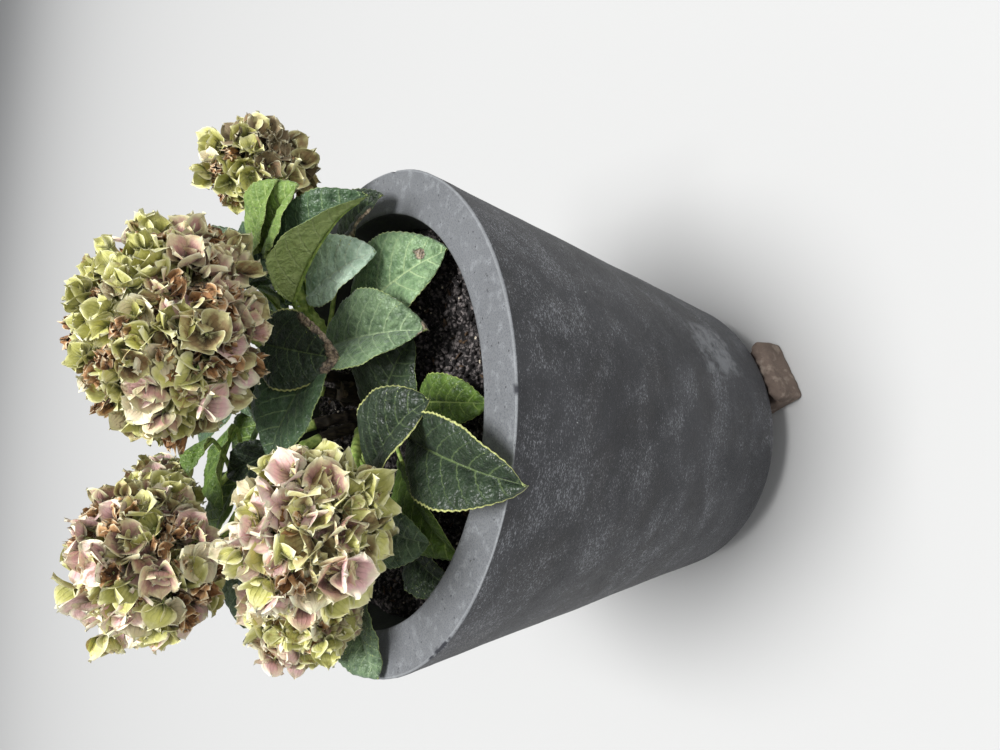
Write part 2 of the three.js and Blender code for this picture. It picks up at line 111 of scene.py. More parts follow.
# Each shoot as in the source: its place in the ring, its top, and the middle and half axes of its head
SHOOTS = {
    "centre": {"ring": 60, "top": [55, 28, 424], "head": [50, 10, 489], "axes": [76, 66, 62]},
    "right": {"ring": 10, "top": [146, 44, 408], "head": [183, 43, 427], "axes": [39, 42, 44]},
    "left": {"ring": 170, "top": [-85, 50, 425], "head": [-104, 40, 480], "axes": [60, 54, 56]},
    "front": {"ring": 235, "top": [-62, -72, 380], "head": [-69, -94, 428], "axes": [52, 50, 48]},
    "side": {"ring": 203, "top": [-112, -12, 362], "head": [-132, -29, 400], "axes": [42, 42, 40]},
    "rear": {"ring": 130, "top": [-57, 112, 414], "head": [-68, 124, 453], "axes": [38, 38, 36]},
    "low": {"ring": 285, "top": [-2, -46, 342]},
    "back": {"ring": 95, "top": [42, 118, 392]},
}

# The leaves that show from the front, by shoot. A row holds these parts: its place on the shoot, the
# foot of its blade, the way it points and rises in degrees, its length and width, its roll, the angle
# that its halves fold up by, its tone and, on a burnt leaf, where it is burnt.
LEAF_PARTS = ["at", "foot", "turn", "rise", "length", "width", "roll", "fold", "tone", "burn"]
FRONT_LEAVES = {
    "low": [
        [0.95, [-13, -83, 356], 259, -1, 118, 60, 2, 24, "rimmed"],
        [0.4, [-2, -7, 340], 321, 2, 76, 72, 18, 11, "dark"],
        [0.7, [12, -53, 332], 269, -1, 79, 40, 0, 17, "fresh"],
        [0.6, [-31, -35, 334], 235, 1, 98, 50, 8, 20, "fresh"],
    ],
    "front": [
        [0.6, [-38, -57, 368], 304, 4, 88, 64, -5, 20, "rimmed"],
        [0.4, [-76, -28, 350], 266, -4, 69, 46, 0, 17, "glaucous"],
    ],
    "side": [
        [0.4, [-92, -44, 328], 254, 2, 60, 40, 0, 17, "dark"],
        [0.9, [-129, -16, 354], 219, 0, 60, 46, -10, 11, "glaucous"],
    ],
    "centre": [
        [0.5, [51, 16, 372], 275, -12, 104, 66, -12, 26, "glaucous", "tip"],
        [0.42, [74, 21, 351], 292, -7, 114, 72, 5, 11, "light", "spot"],
        [0.9, [51, 36, 418], 260, -24, 78, 60, 0, 14, "rimmed", "margin"],
        [0.6, [47, -12, 385], 160, 18, 90, 68, -15, 11, "middle"],
        [0.95, [66, 58, 420], 278, -3, 44, 32, 0, 28, "dark"],
    ],
    "right": [
        [0.55, [83, 23, 400], 305, -4, 111, 70, -12, 56, "middle"],
        # a leaf whose colour is lightened as painted sheen
        [0.45, [90, 31, 384], 291, -12, 77, 54, 0, 17, "sheen_pale"],
        [0.35, [130, 43, 354], 290, 7, 85, 44, -5, 14, "dark", "edge"],
        [0.9, [117, 32, 418], 299, 5, 74, 48, 5, 17, "spring"],
        [0.95, [114, 47, 418], 303, 12, 80, 42, 6, 17, "spring"],
        [0.6, [85, 42, 394], 326, 50, 48, 46, 165, 11, "glaucous"],
        [0.5, [69, 50, 388], 345, 50, 40, 40, 165, 11, "glaucous"],
    ],
    "rear": [
        [0.8, [-10, 108, 408], 215, 16, 80, 34, -10, 23, "fresh"],
        [0.9, [-20, 60, 440], 203, 30, 34, 28, -20, 17, "fresh"],
    ],
    "left": [
        [0.6, [-27, 42, 388], 114, 30, 60, 34, -10, 23, "dark"],
    ],
}

# The leaves on the sides and at the back: place on the shoot, the way it points and rises, its length
SIDE_LEAVES = {
    "right": [[0.45, 20, 0, 84], [0.65, 60, 6, 88], [0.8, 95, 14, 80], [0.95, 115, 30, 72]],
    "back": [[0.5, 27, 2, 88], [0.6, 143, 4, 84], [0.75, 60, 6, 78], [0.8, 127, 12, 86], [1, 90, 36, 76]],
    "rear": [[0.6, 0, 20, 86], [0.65, 145, 2, 88], [0.5, 10, 20, 76]],
    "left": [[0.4, 150, -2, 82], [0.65, 180, 2, 88]],
    "side": [[0.5, 163, 4, 84], [0.5, 100, 6, 80]],
    "front": [[0.65, 140, 12, 84]],
    "centre": [[0.95, 90, 18, 86]],
}
SIDE_LEAF = {"slimness": 0.62, "stalk": 0.3, "lift": 18, "fold": 16, "roll": 6, "seed": 7}
SIDE_TONES = ["dark", "middle", "middle", "fresh", "glaucous", "rimmed"]

# Each tone's colours in hollows, which is painted shade in the dips between puckers, and on the face,
# which the pucker crests take as painted sheen (both also spread by random tint and cloud), then on
# veins and along the rim, its sheen and roughness, how strongly its veins show and, where the rim is
# broad, how far out it starts
LEAF_TONES = {
    "dark": ("151f16", "3b4c35", "6c7e54", "8c9c62", 0.06, 0.27, 0.4),
    "middle": ("1f3223", "4c6645", "8da373", "93a765", 0.08, 0.27, 0.5),
    "light": ("375a38", "8fab7e", "b9cc98", "b9c886", 0.25, 0.32, 0.45),
    "rimmed": ("141e15", "33432f", "6d7f50", "c3c77e", 0.06, 0.27, 0.36, 0.966),
    "glaucous": ("263f29", "7d956e", "a6ba90", "a0b070", 0.28, 0.32, 0.48),
    # sheen_pale: a green lightened almost to white, painted sheen on the leaf's face
    "sheen_pale": ("7d9d84", "cfe6cf", "d8e6ca", "c6d39e", 0.45, 0.36, 0.4),
    "fresh": ("263c14", "638030", "a2b568", "b1c36a", 0.1, 0.32, 0.45),
    "spring": ("466429", "859f4f", "c0ce8e", "bfce80", 0.15, 0.34, 0.45),
}
TONES = list(LEAF_TONES)

# Leaf blades. Shares run along a blade from its foot to its tip, edges from -1 to 1 across it.
OUTLINE_FULLNESS = 0.66
BLADE_ARCH = 0.06
BLADE_CURL = 0.16
BLADE_THICKNESS = 0.5
BLADE_EDGES = [0, 0.05, 0.16, 0.32, 0.5, 0.68, 0.83, 0.94, 1]
TOOTH_PITCH = 4.2
TOOTH_DEPTH = 0.9
TOOTH_RISE = 0.67
VEIN_PAIRS = 7
VEIN_SLANT = 0.28
VEIN_BEND = 0.12
VEIN_STAGGER = 0.35
QUILT = 2.1
MIDRIB_DEPTH = 0.9
EDGE_WAVE = 1.8
EDGE_RIPPLE = 0.8
TIP_DROOP = 0.04
STALK = {"behind": 0.12, "lean": 0.35, "steps": 16}
RIB_STEPS = 22

# Flower heads. Each is a shell of florets over an inner, more open one.
HEAD_COVER = 0.86
LAYERS = [{"share": 1, "spacing": 13.2, "sink": 15.5}, {"share": 0.74, "spacing": 17, "sink": 11}]
GOLDEN_TURN = math.pi * (3 - math.sqrt(5))
SEPAL_ROWS = 8
SEPAL_COLUMNS = 7
SEPAL = {"width": 0.6, "fullness": 0.66, "tip": 0.08, "point": 0.1, "cup": 0.34, "wave": 0.1}
SEPAL_GRID = np.meshgrid(np.linspace(0, 1, SEPAL_ROWS), np.linspace(-1, 1, SEPAL_COLUMNS), indexing="ij")
FLORET_SIZE = (10.5, 15.5)
FLORET_TILT = 0.46
FLORET_FLARE = (-0.15, 0.75)
SINK_SPREAD = (0.6, 1.5)
HEAD_LUMP = 0.06
DRY = {"size": 0.78, "clump": 2.2, "inside": 2.4}

# How each head's florets are dealt out: the way its first kinds face, the weights of the kinds there
# and of those on the far side, and how large the florets are at each end
HEADS = {
    "centre": (
        [-0.1, 0.45, 0.85],
        {"lime": 6, "green": 6, "cream": 1, "dry": 2.6, "pink": 0.8},
        {"olive": 5, "mauve": 5, "green": 2, "dry": 3, "pink": 2},
        [0.92, 1.35],
    ),
    "right": (
        [-0.6, 0.2, 0.8],
        {"green": 5, "lime": 4, "cream": 1.5, "dry": 2, "pink": 0.8, "olive": 1},
        {"tan": 8, "olive": 3, "dry": 1.5},
        [0.95, 1.15],
    ),
    "left": (
        [-0.7, -0.1, 0.5],
        {"pink": 6, "lime": 3.5, "mauve": 2, "cream": 3.5, "green": 1, "dry": 1},
        {"mauve": 5, "olive": 2.5, "green": 2, "pink": 3, "dry": 3.5},
        [1.25, 1.2],
    ),
    "front": (
        [-0.35, 0.35, 0.9],
        {"cream": 7, "pink": 4, "lime": 4, "green": 1, "dry": 0.4},
        {"olive": 6, "green": 4, "lime": 4, "mauve": 2},
        [1.1, 1.4],
    ),
    "side": (
        [-0.6, -0.2, 0.7],
        {"cream": 3, "pink": 3, "lime": 4, "green": 2, "dry": 0.8},
        {"olive": 4, "mauve": 3, "green": 3, "dry": 1.5},
        [1.05, 1.2],
    ),
    "rear": (
        [0, 0, 1],
        {"pink": 3, "lime": 2, "mauve": 2, "dry": 3},
        {"olive": 4, "green": 3, "dry": 2},
        [0.9, 1],
    ),
}

# Each kind of floret: the colours at its heart, its own deeper colour darkened further as painted shade
# in the floret's cup, on its face and along its rim, how far out the rim's colour starts, and how
# steeply its sepals rise in degrees
SEPALS = {
    "lime": ("5d642a", "cfcd7c", "eeeab6", 0.5, (44, 74)),
    "green": ("414724", "b0ae62", "e5e2a4", 0.5, (48, 78)),
    "olive": ("292014", "957d58", "dedb9e", 0.35, (50, 78)),
    "mauve": ("3a2924", "bb9088", "e8e4b2", 0.3, (46, 74)),
    "pink": ("70583f", "e7bfbf", "f2efce", 0.35, (30, 66)),
    "cream": ("807747", "eddfc2", "f2f0cc", 0.4, (30, 66)),
    "tan": ("3d3022", "7f6e53", "9c916d", 0.6, (35, 66)),
    "dry": ("4a321d", "9c7048", "d3a978", 0.6, (65, 105)),
}
KINDS = list(SEPALS)

# Floor, sky and lights, in metres. Each light has its place, its size and its power in watts.
FLOOR_REACH = 30
FLOOR_COLOUR = (0.46, 0.46, 0.455, 1)
SKY_COLOUR = (0.95, 0.97, 1, 1)
SKY_STRENGTH = 0.4
LIGHTS = {"overhead": ((0.1, -1.1, 12), 5.5, 2300), "front_fill": ((0.6, -2.2, 0.9), 1.6, 12)}
LIGHT_TARGET = (0, 0, 0.3)

# Camera, from a fit to the rim, base and slab joints in the photograph: its right, up and back axes
CAMERA_PLACE = (-0.00853, -0.51928, 0.61072)
CAMERA_RIGHT = (0.04425417, -0.60253147, -0.79686724)
CAMERA_UP = (0.99597844, -0.03558885, 0.08222147)
CAMERA_BACK = (-0.07790062, -0.79730123, 0.5985334)
CAMERA_LENS = 27.46
CAMERA_SENSOR = 36


def linear(text):
    """A hexadecimal screen colour as linear red, green, blue and alpha."""
    parts = [int(text[i : i + 2], 16) / 255 for i in (0, 2, 4)]
    return (*[p / 12.92 if p <= 0.04045 else ((p + 0.055) / 1.055) ** 2.4 for p in parts], 1)


def unit(vectors):
    """These vectors, each brought to a length of one."""
    vectors = np.asarray(vectors, float)
    return vectors / np.maximum(np.linalg.norm(vectors, axis=-1, keepdims=True), 1e-9)


def heading(turn, rise):
    """Unit vector from a compass turn about +Z and a rise above the horizontal."""
    a = math.radians(turn)
    e = math.radians(rise)
    return np.array([math.cos(a) * math.cos(e), math.sin(a) * math.cos(e), math.sin(e)])


def bezier(start, bend, end, shares):
    """Points of a curve from start to end that leaves and arrives along lines through bend."""
    t = np.asarray(shares, float)[:, None]
    return (1 - t) ** 2 * start + 2 * t * (1 - t) * bend + t**2 * end


def ease(low, high, values):
    """0 at low and 1 at high, smooth between them. low may be the larger."""
    t = np.clip((values - low) / (high - low), 0, 1)
    return t * t * (3 - 2 * t)


def wander(points, pitch, seed):
    """Smooth noise of about -1 to 1 at these points, as a sum of waves in seeded directions."""
    rng = np.random.default_rng(seed)
    total = np.zeros(len(points))
    for octave in range(3):
        for _ in range(5):
            wave = unit(rng.normal(size=3)) * 2 * math.pi / pitch * 1.9**octave
            total += np.sin(points @ wave + rng.uniform(0, 2 * math.pi)) * 0.6**octave
    return total / 4.5


def unevenness(points, waves, seed, seed_step=1):
    """Smooth noise of several sizes, where each of the waves has its own pitch and height."""
    seeds = range(seed, seed + len(waves) * seed_step, seed_step)
    return sum(wander(points, pitch, own) * height for own, (pitch, height) in zip(seeds, waves))


def ring_turns(sides):
    """How far round each of this many places on a ring is, in radians."""
    return np.arange(sides) * 2 * math.pi / sides


def source_numbers(seed):
    """The same sequence of numbers from 0 to 1 as in the part's source."""
    state = seed
    while True:
        state = (state * 16807) % 2147483647
        yield (state - 1) / 2147483646


def add_object(name, data):
    """A new object in the scene that shows this mesh, light or camera."""
    made = bpy.data.objects.new(name, data)
    bpy.context.scene.collection.objects.link(made)
    return made


class Pile:
    """Quads that are gathered from many shapes and become one mesh."""

    def __init__(self):
        self.points = []
        self.quads = []
        self.kinds = []
        self.fields = {}
        self.count = 0

    def add(self, points, quads, kinds=0, **fields):
        """A shape, with the kind of its quads and with values that its points carry."""
        self.points.append(points)
        self.close(quads + self.count, kinds)
        for name, values in fields.items():
            self.fields.setdefault(name, []).append(values)
        self.count += len(points)

    def close(self, quads, kinds=0):
        """More quads between points that are there already."""
        self.quads.append(quads)
        self.kinds.append(np.full(len(quads), kinds))

    def mesh(self, name, materials):
        """One smooth mesh in metres, where each kind of quad has its own material."""
        points = np.concatenate(self.points) * MM
        quads = np.concatenate(self.quads)
        mesh = bpy.data.meshes.new(name)
        mesh.vertices.add(len(points))
        mesh.vertices.foreach_set("co", points.ravel())
        mesh.loops.add(quads.size)
        mesh.loops.foreach_set("vertex_index", quads.ravel().astype(np.int32))
        mesh.polygons.add(len(quads))
        mesh.polygons.foreach_set("loop_start", np.arange(0, quads.size, 4, dtype=np.int32))
        mesh.polygons.foreach_set("material_index", np.concatenate(self.kinds).astype(np.int32))
        mesh.update(calc_edges=True)
        mesh.polygons.foreach_set("use_smooth", np.ones(len(quads), bool))
        for field, values in self.fields.items():
            values = np.concatenate(values)
            kind, part = ("FLOAT_VECTOR", "vector") if values.ndim == 2 else ("FLOAT", "value")
            mesh.attributes.new(field, kind, "POINT").data.foreach_set(part, values.ravel())
        for material in materials:
            mesh.materials.append(material)
        return mesh

    def piece(self, name, materials, nodes, slot):
        """The mesh as a piece of the object, which stands for these CAD nodes."""
        made = add_object(name, self.mesh(name, materials))
        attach(made, "root")
        if nodes:
            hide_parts(*nodes)


def grid_quads(rows, columns, closed=False):
    """The quads of a grid of points, whose columns may close into a ring."""
    across = columns if closed else columns - 1
    i, k = np.meshgrid(np.arange(rows - 1), np.arange(across), indexing="ij")
    n = (k + 1) % columns
    row = i * columns
    above = row + columns
    return np.stack([row + k, row + n, above + n, above + k], -1).reshape(-1, 4)


def cap_quads(rows, sides):
    """Quads over the first and the last ring of this many rings of points, half for each."""
    steps = np.arange(sides // 2 - 1)
    quads = np.stack([steps, steps + 1, sides - 2 - steps, sides - 1 - steps], -1)
    return np.concatenate([quads[:, ::-1], quads + (rows - 1) * sides])


def tube(path, radii, sides):
    """Points and quads of a round tube along a path, closed at both ends."""
    path = np.asarray(path, float)
    rows = len(path)
    ahead = unit(np.gradient(path, axis=0))
    side = np.zeros_like(path)
    side[0] = unit(np.cross(ahead[0], [0.31, 0.87, 0.38]))
    for i in range(1, rows):
        side[i] = unit(side[i - 1] - ahead[i] * (side[i - 1] @ ahead[i]))
    over = np.cross(ahead, side)
    angles = ring_turns(sides)
    spokes = np.cos(angles)[None, :, None] * side[:, None] + np.sin(angles)[None, :, None] * over[:, None]
    radii = np.broadcast_to(np.asarray(radii, float).reshape(rows, -1), (rows, sides))
    points = (path[:, None] + spokes * radii[..., None]).reshape(-1, 3)
    return points, np.concatenate([grid_quads(rows, sides, True), cap_quads(rows, sides)])


class Shader:
    """A material under construction. Its colour starts as a mix of two and is overlaid step by step."""

    def __init__(self, name, roughness, specular=0.5):
        self.material = bpy.data.materials.new(name)
        self.material.use_nodes = True
        self.tree = self.material.node_tree
        self.inputs = self.tree.nodes["Principled BSDF"].inputs
        self.put(self.inputs["Roughness"], roughness)
        self.put(self.inputs["Specular IOR Level"], specular)

    def put(self, socket, value):
        """Another node's output, a hexadecimal colour or a plain value into this socket."""
        if isinstance(value, bpy.types.NodeSocket):
            self.tree.links.new(value, socket)
        else:
            socket.default_value = linear(value) if isinstance(value, str) else value

    def node(self, kind, output, inputs, **settings):
        """A new node's output of this name or number, or all of its outputs."""
        made = self.tree.nodes.new(f"ShaderNode{kind}")
        for name, value in settings.items():
            setattr(made, name, value)
        for name, value in inputs.items():
            self.put(made.inputs[name], value)
        return made.outputs if output is None else made.outputs[output]

    def math(self, operation, a, b=0.0, c=0.0, clamp=False):
        return self.node("Math", 0, {0: a, 1: b, 2: c}, operation=operation, use_clamp=clamp)

    def times(self, a, b, plus=None, clamp=False):
        """a times b, and another value added where it is given."""
        if plus is None:
            return self.math("MULTIPLY", a, b, clamp=clamp)
        return self.math("MULTIPLY_ADD", a, b, plus, clamp)

    def step(self, low, high, value):
        """0 below low and 1 above high, smooth between them. low may be the larger."""
        falls = low > high
        inputs = {"Value": value, "From Min": min(low, high), "From Max": max(low, high)}
        inputs |= {"To Min": falls, "To Max": not falls}
        return self.node("MapRange", "Result", inputs, interpolation_type="SMOOTHSTEP")

    def mix(self, factor, a, b):
        return self.node("Mix", 2, {0: factor, 6: a, 7: b}, data_type="RGBA")

    def place(self, scale=(1, 1, 1)):
        """The piece's own coordinates in metres, stretched by this scale."""
        return self.node("Mapping", 0, {0: self.node("TexCoord", "Object", {}), "Scale": scale})

    def noise(self, scale, detail=3.0, vector=None, roughness=0.55):
        vector = self.place() if vector is None else vector
        inputs = {"Vector": vector, "Scale": scale, "Detail": detail, "Roughness": roughness}
        return self.node("TexNoise", "Fac", inputs)

    def cells(self, scale, vector=None, feature="F1"):
        vector = self.place() if vector is None else vector
        return self.node("TexVoronoi", "Distance", {"Vector": vector, "Scale": scale}, feature=feature)

    def number(self, name):
        """The value that the mesh carries under this name."""
        return self.node("Attribute", "Fac", {}, attribute_name=name)

    def field(self, name):
        """The three parts of the vector that the mesh carries under this name."""
        vector = self.node("Attribute", "Vector", {}, attribute_name=name)
        return self.node("SeparateXYZ", None, {0: vector})

    def sheen(self, weight, roughness, tint="ffffff"):
        for name, value in (("Weight", weight), ("Roughness", roughness), ("Tint", tint)):
            self.put(self.inputs[f"Sheen {name}"], value)

    def start(self, share, low, high):
        """The first colour, from low to high by this share."""
        self.colour = self.mix(share, low, high)

    def lay(self, mask, colour, amount=1):
        """Another colour over the one so far, by this amount where the mask reads 1."""
        self.colour = self.mix(mask if amount == 1 else self.times(mask, amount), self.colour, colour)

    def relief(self, height, distance, strength=1.0):
        """Bumps of this height in metres where the height reads 1."""
        inputs = {"Height": height, "Distance": distance, "Strength": strength}
        self.put(self.inputs["Normal"], self.node("Bump", 0, inputs))

    def finish(self):
        self.put(self.inputs["Base Color"], self.colour)
        return self.material


def vein_phase(share, across, spread):
    """Whole numbers on the side veins, which leave the midrib in staggered pairs and bend to the tip."""
    slant = VEIN_SLANT * spread + VEIN_BEND * spread**2
    return (share - slant) * VEIN_PAIRS + np.where(across > 0, VEIN_STAGGER, 0)


def vein_distance(s, share, across, spread):
    """How far a place on the blade is from the nearest side vein, from 0 to 0.5."""
    slant = s.times(spread, VEIN_SLANT, s.times(s.times(spread, spread), VEIN_BEND))
    stagger = s.times(s.math("GREATER_THAN", across, 0.0), VEIN_STAGGER)
    phase = s.times(s.math("SUBTRACT", share, slant), VEIN_PAIRS, stagger)
    return s.math("ABSOLUTE", s.math("SUBTRACT", s.math("FRACT", s.math("ADD", phase, 0.5)), 0.5))


def leaf_top_material(name, deep, pale, vein, rim, sheen, gloss, show, rim_from=0.985):
    """The upper face: quilted between sunken pale veins, with a fine net and a pale toothed margin."""
    s = Shader(name, 0.42, 0.4)
    s.sheen(sheen, 0.35, "dfe9ea")
    share, across, spread = s.field("blade")
    side = s.math("ABSOLUTE", across)
    off = vein_distance(s, share, across, spread)
    vein_mask = s.times(s.step(0.065, 0.02, off), s.times(s.step(1.05, 0.1, side), show, 0.1))
    midrib = s.step(0.032, 0.012, s.times(side, s.times(share, 0.8, 0.6)))
    net_line = s.step(0.07, 0.0, s.cells(420, feature="DISTANCE_TO_EDGE"))
    cloud = s.noise(60, 3)
    pucker = s.noise(170, 2)
    # pucker also sets the colour: the deep colour in its hollows is painted shade, the pale one on its
    # crests painted sheen
    light = s.times(pucker, 1.5, s.times(cloud, 0.8, -0.95))
    s.start(s.times(s.number("tint"), 0.5, light, clamp=True), deep, pale)
    s.lay(net_line, vein, 0.12)
    s.lay(s.step(0.2, 0.03, off), pale, 0.3)
    s.lay(vein_mask, vein)
    s.lay(midrib, vein, 0.6)
    s.lay(s.step(rim_from, rim_from + 0.025, s.times(cloud, 0.04, side)), rim, 0.85)
    scorch = s.times(s.noise(240, 3), 0.9, s.math("SUBTRACT", s.number("burn"), 0.45))
    dead = s.mix(s.step(0.36, 0.64, s.noise(380, 4, None, 0.7)), "42382f", "a39179")
    s.lay(s.step(0.3, 0.42, scorch), "2c2419", 0.7)
    s.lay(s.step(0.4, 0.58, scorch), dead)
    height = s.times(net_line, -0.4, s.times(s.noise(900, 2), 0.3))
    height = s.times(s.step(0.09, 0.0, off), -0.8, height)
    height = s.times(midrib, -0.6, height)
    s.relief(s.times(pucker, 7.5, height), 0.0005, 0.95)
    gloss = s.times(vein_mask, 0.12, gloss)
    s.put(s.inputs["Roughness"], s.times(s.noise(150, 3), 0.25, gloss))
    return s.finish()


def leaf_under_material():
    """The lower face: dull pale green with raised, paler veins."""
    s = Shader("leaf_under", 0.6, 0.35)
    vein_line = s.step(0.09, 0.02, vein_distance(s, *s.field("blade")))
    net_line = s.step(0.12, 0.0, s.cells(330, feature="DISTANCE_TO_EDGE"))
    pucker = s.noise(190, 3)
    # the same on the lower face: painted shade in the pucker hollows, painted sheen on their crests
    light = s.times(pucker, 1.3, s.times(s.noise(60, 3), 0.8, -0.65))
    s.start(s.times(s.number("tint"), 0.2, light, clamp=True), "84964c", "cad891")
    s.lay(net_line, "c0ca8c", 0.25)
    s.lay(vein_line, "c8d296", 0.45)
    height = s.times(net_line, 0.4, s.times(vein_line, 0.9))
    s.relief(s.times(pucker, 7.0, height), 0.0006, 0.9)
    return s.finish()


def sepal_material(kind):
    """A sepal: coloured from its heart over its face to a pale rim, with fine veins from its foot."""
    heart, face, rim, rim_from, _ = SEPALS[kind]
    dry = kind == "dry"
    s = Shader(f"sepal_{kind}", 0.8 if dry else 0.6, 0.3)
    s.sheen(0.12, 0.4)
    along, across, chance = s.field("sepal")
    patch = s.noise(170, 3)
    rays = s.math("SINE", s.times(across, 21.0, s.times(patch, 6.0)))
    ray_line = s.times(s.step(0.4, 0.95, rays), s.step(1.05, 0.1, along))
    to_side = s.math("POWER", s.math("ABSOLUTE", across), 1.5)
    to_edge = s.math("MAXIMUM", to_side, s.math("POWER", along, 2.0))
    # the heart's colour at the sepal's foot is partly painted shade in the floret's cup
    s.start(s.step(0.02, 0.62, along), heart, face)
    s.lay(s.step(0.45, 0.7, patch), heart if dry else rim, 0.8 if dry else 0.45)
    s.lay(ray_line, heart, 0.28)
    wavy_edge = s.times(patch, 0.5, s.math("SUBTRACT", to_edge, 0.25))
    s.lay(s.times(s.step(rim_from, 0.97, wavy_edge), s.times(chance, 0.35, 0.65)), rim)
    # a near-white line along each sepal's edge: painted highlight
    s.lay(s.step(0.86, 0.97, to_edge), "f1eed2", 0.5)
    s.lay(s.times(s.step(0.82, 0.9, chance), s.step(0.52, 0.62, s.noise(240, 3))), "8c6746", 0.65)
    height = s.times(ray_line, -0.6, s.times(s.noise(700, 3), 0.5))
    s.relief(height, 0.0014 if dry else 0.0006, 0.8)
    return s.finish()


def plain_grain_material(name, dark, light, scale, roughness, bump):
    """A soft two-tone grain, for stems, stalks, beads, cut wood and grit."""
    s = Shader(name, roughness, 0.4)
    grain = s.noise(scale, 4)
    s.start(s.step(0.35, 0.65, grain), dark, light)
    s.relief(grain, bump, 0.7)
    return s.finish()


def bark_material():
    """Stringy bark, dark and darkened further as painted shade, with long cracks and greyer patches."""
    s = Shader("bark", 0.85, 0.25)
    long_way = s.place((1, 1, 0.22))
    strand = s.noise(420, 4, long_way)
    crack = s.step(0.62, 0.72, s.noise(260, 3, long_way))
    s.start(s.step(0.35, 0.65, strand), "17130f", "3a3227")
    s.lay(s.step(0.5, 0.66, s.noise(70, 3)), "2e2a23")
    s.lay(crack, "0e0b09", 0.85)
    s.relief(s.times(crack, -1.2, strand), 0.0012, 0.9)
    return s.finish()


def pot_wall_material():
    """Dark fibre cement under fine pale flecks, drawn out round the pot and thicker in clouds."""
    s = Shader("pot_wall", 0.62, 0.4)
    round_way = s.place((1, 1, 2.4))
    streak = s.noise(170, 4, round_way, 0.7)
    fine = s.noise(560, 3, round_way, 0.75)
    s.start(s.step(0.3, 0.7, s.noise(11, 4)), "1e1f23", "343539")
    s.lay(s.step(0.48, 0.66, s.noise(24, 5)), "2a292a", 0.5)
    band = s.noise(26, 5, s.place((1, 1, 1.15)), 0.65)
    clouded = s.step(0.38, 0.7, s.times(s.step(0.6, 1.0, s.number("height")), 0.07, band))
    density = s.times(clouded, s.times(s.step(0.35, 0.65, streak), 0.6, 0.4))
    over = s.math("SUBTRACT", fine, s.times(density, -0.17, 0.62))
    s.lay(s.times(over, 9.0, clamp=True), "8f9196", 0.7)
    s.lay(density, "85878c", 0.09)
    scuff = s.number("scuff")
    smear = s.times(s.noise(75, 6, None, 0.75), 1.4, s.times(scuff, 0.45))
    s.lay(s.times(s.step(0.92, 1.25, smear), scuff), "909397", 0.5)
    fleck = s.step(0.07, 0.02, s.cells(110, s.place((1, 1, 0.5))))
    s.lay(s.times(fleck, s.step(0.6, 0.64, s.noise(75, 2))), "b4b6b6", 0.8)
    pit = s.step(0.16, 0.05, s.cells(140))
    s.relief(s.times(pit, -0.7, s.times(streak, 0.5, fine)), 0.0007, 0.6)
    s.put(s.inputs["Roughness"], s.times(streak, 0.3, 0.42))
    return s.finish()


def pot_rim_material():
    """The rim's face: bleached to a light bluish grey, with a fine grain and small dark pits."""
    s = Shader("pot_rim", 0.75, 0.3)
    grain = s.noise(1100, 3)
    pit = s.times(s.step(0.2, 0.06, s.cells(230)), s.step(0.5, 0.56, s.noise(90, 2)))
    s.start(s.noise(20, 4), "5e6063", "747679")
    s.lay(s.step(0.5, 0.7, s.noise(130, 4)), "929598", 0.4)
    s.lay(s.step(0.48, 0.62, grain), "4c4e52", 0.55)
    s.lay(pit, "3a3b3e", 0.8)
    # edge_highlight: a pale line along the rim's outer edge, a painted highlight
    s.lay(s.number("edge_highlight"), "abaeb0", 0.22)
    s.lay(s.number("broken"), "303136")
    s.relief(s.times(pit, -1.5, grain), 0.0005, 0.7)
    return s.finish()


def pot_inside_material():
    """The inner wall: dark, damp, with a green bloom and pale lime specks."""
    s = Shader("pot_inside", 0.8, 0.3)
    cloud = s.noise(45, 4)
    fine = s.noise(500, 3)
    s.start(cloud, "2b2d2c", "474b47")
    s.lay(s.step(0.52, 0.7, s.noise(80, 4)), "4a5240", 0.5)
    s.lay(s.step(0.62, 0.8, fine), "7c7f7a", 0.4)
    s.relief(s.times(cloud, 0.6, fine), 0.0008, 0.6)
    return s.finish()


def soil_material():
    """Dark peaty soil: hollows near black, partly as painted shade, brown-grey crumbs, damp patches and a
    few pale specks.
    """
    s = Shader("soil_top", 0.92, 0.25)
    facet = s.times(s.cells(280), -0.35, 0.17)
    crumb = s.math("ADD", s.noise(230, 5, roughness=0.75), facet)
    # crumb sets both the bumps and the colour: its low places go near black, partly as painted shade
    s.start(s.step(0.44, 0.7, crumb), "1b1919", "827a78")
    s.lay(s.step(0.5, 0.7, s.noise(30, 3)), "1a1919", 0.5)
    s.lay(s.times(s.step(0.12, 0.05, s.cells(190)), s.step(0.58, 0.6, s.noise(60, 2))), "a3917c", 0.85)
    s.relief(crumb, 0.003, 1.0)
    return s.finish()


def clay_material():
    """Brown-grey weathered clay with sandy specks and darker soaked patches."""
    s = Shader("foot_clay", 0.85, 0.25)
    cloud = s.noise(55, 4)
    grit = s.noise(700, 3)
    s.start(cloud, "51463f", "796a60")
    s.lay(s.step(0.5, 0.68, s.noise(120, 4)), "9a8d80", 0.5)
    s.lay(s.step(0.58, 0.72, grit), "3f3631", 0.45)
    s.relief(s.times(cloud, 0.5, grit), 0.0009, 0.7)
    return s.finish()


def arc(centre, radius, angles):
    """Places on an arc of the pot's section, as rows of radius and height."""
    return centre + radius * np.stack([np.cos(angles), np.sin(angles)], 1)


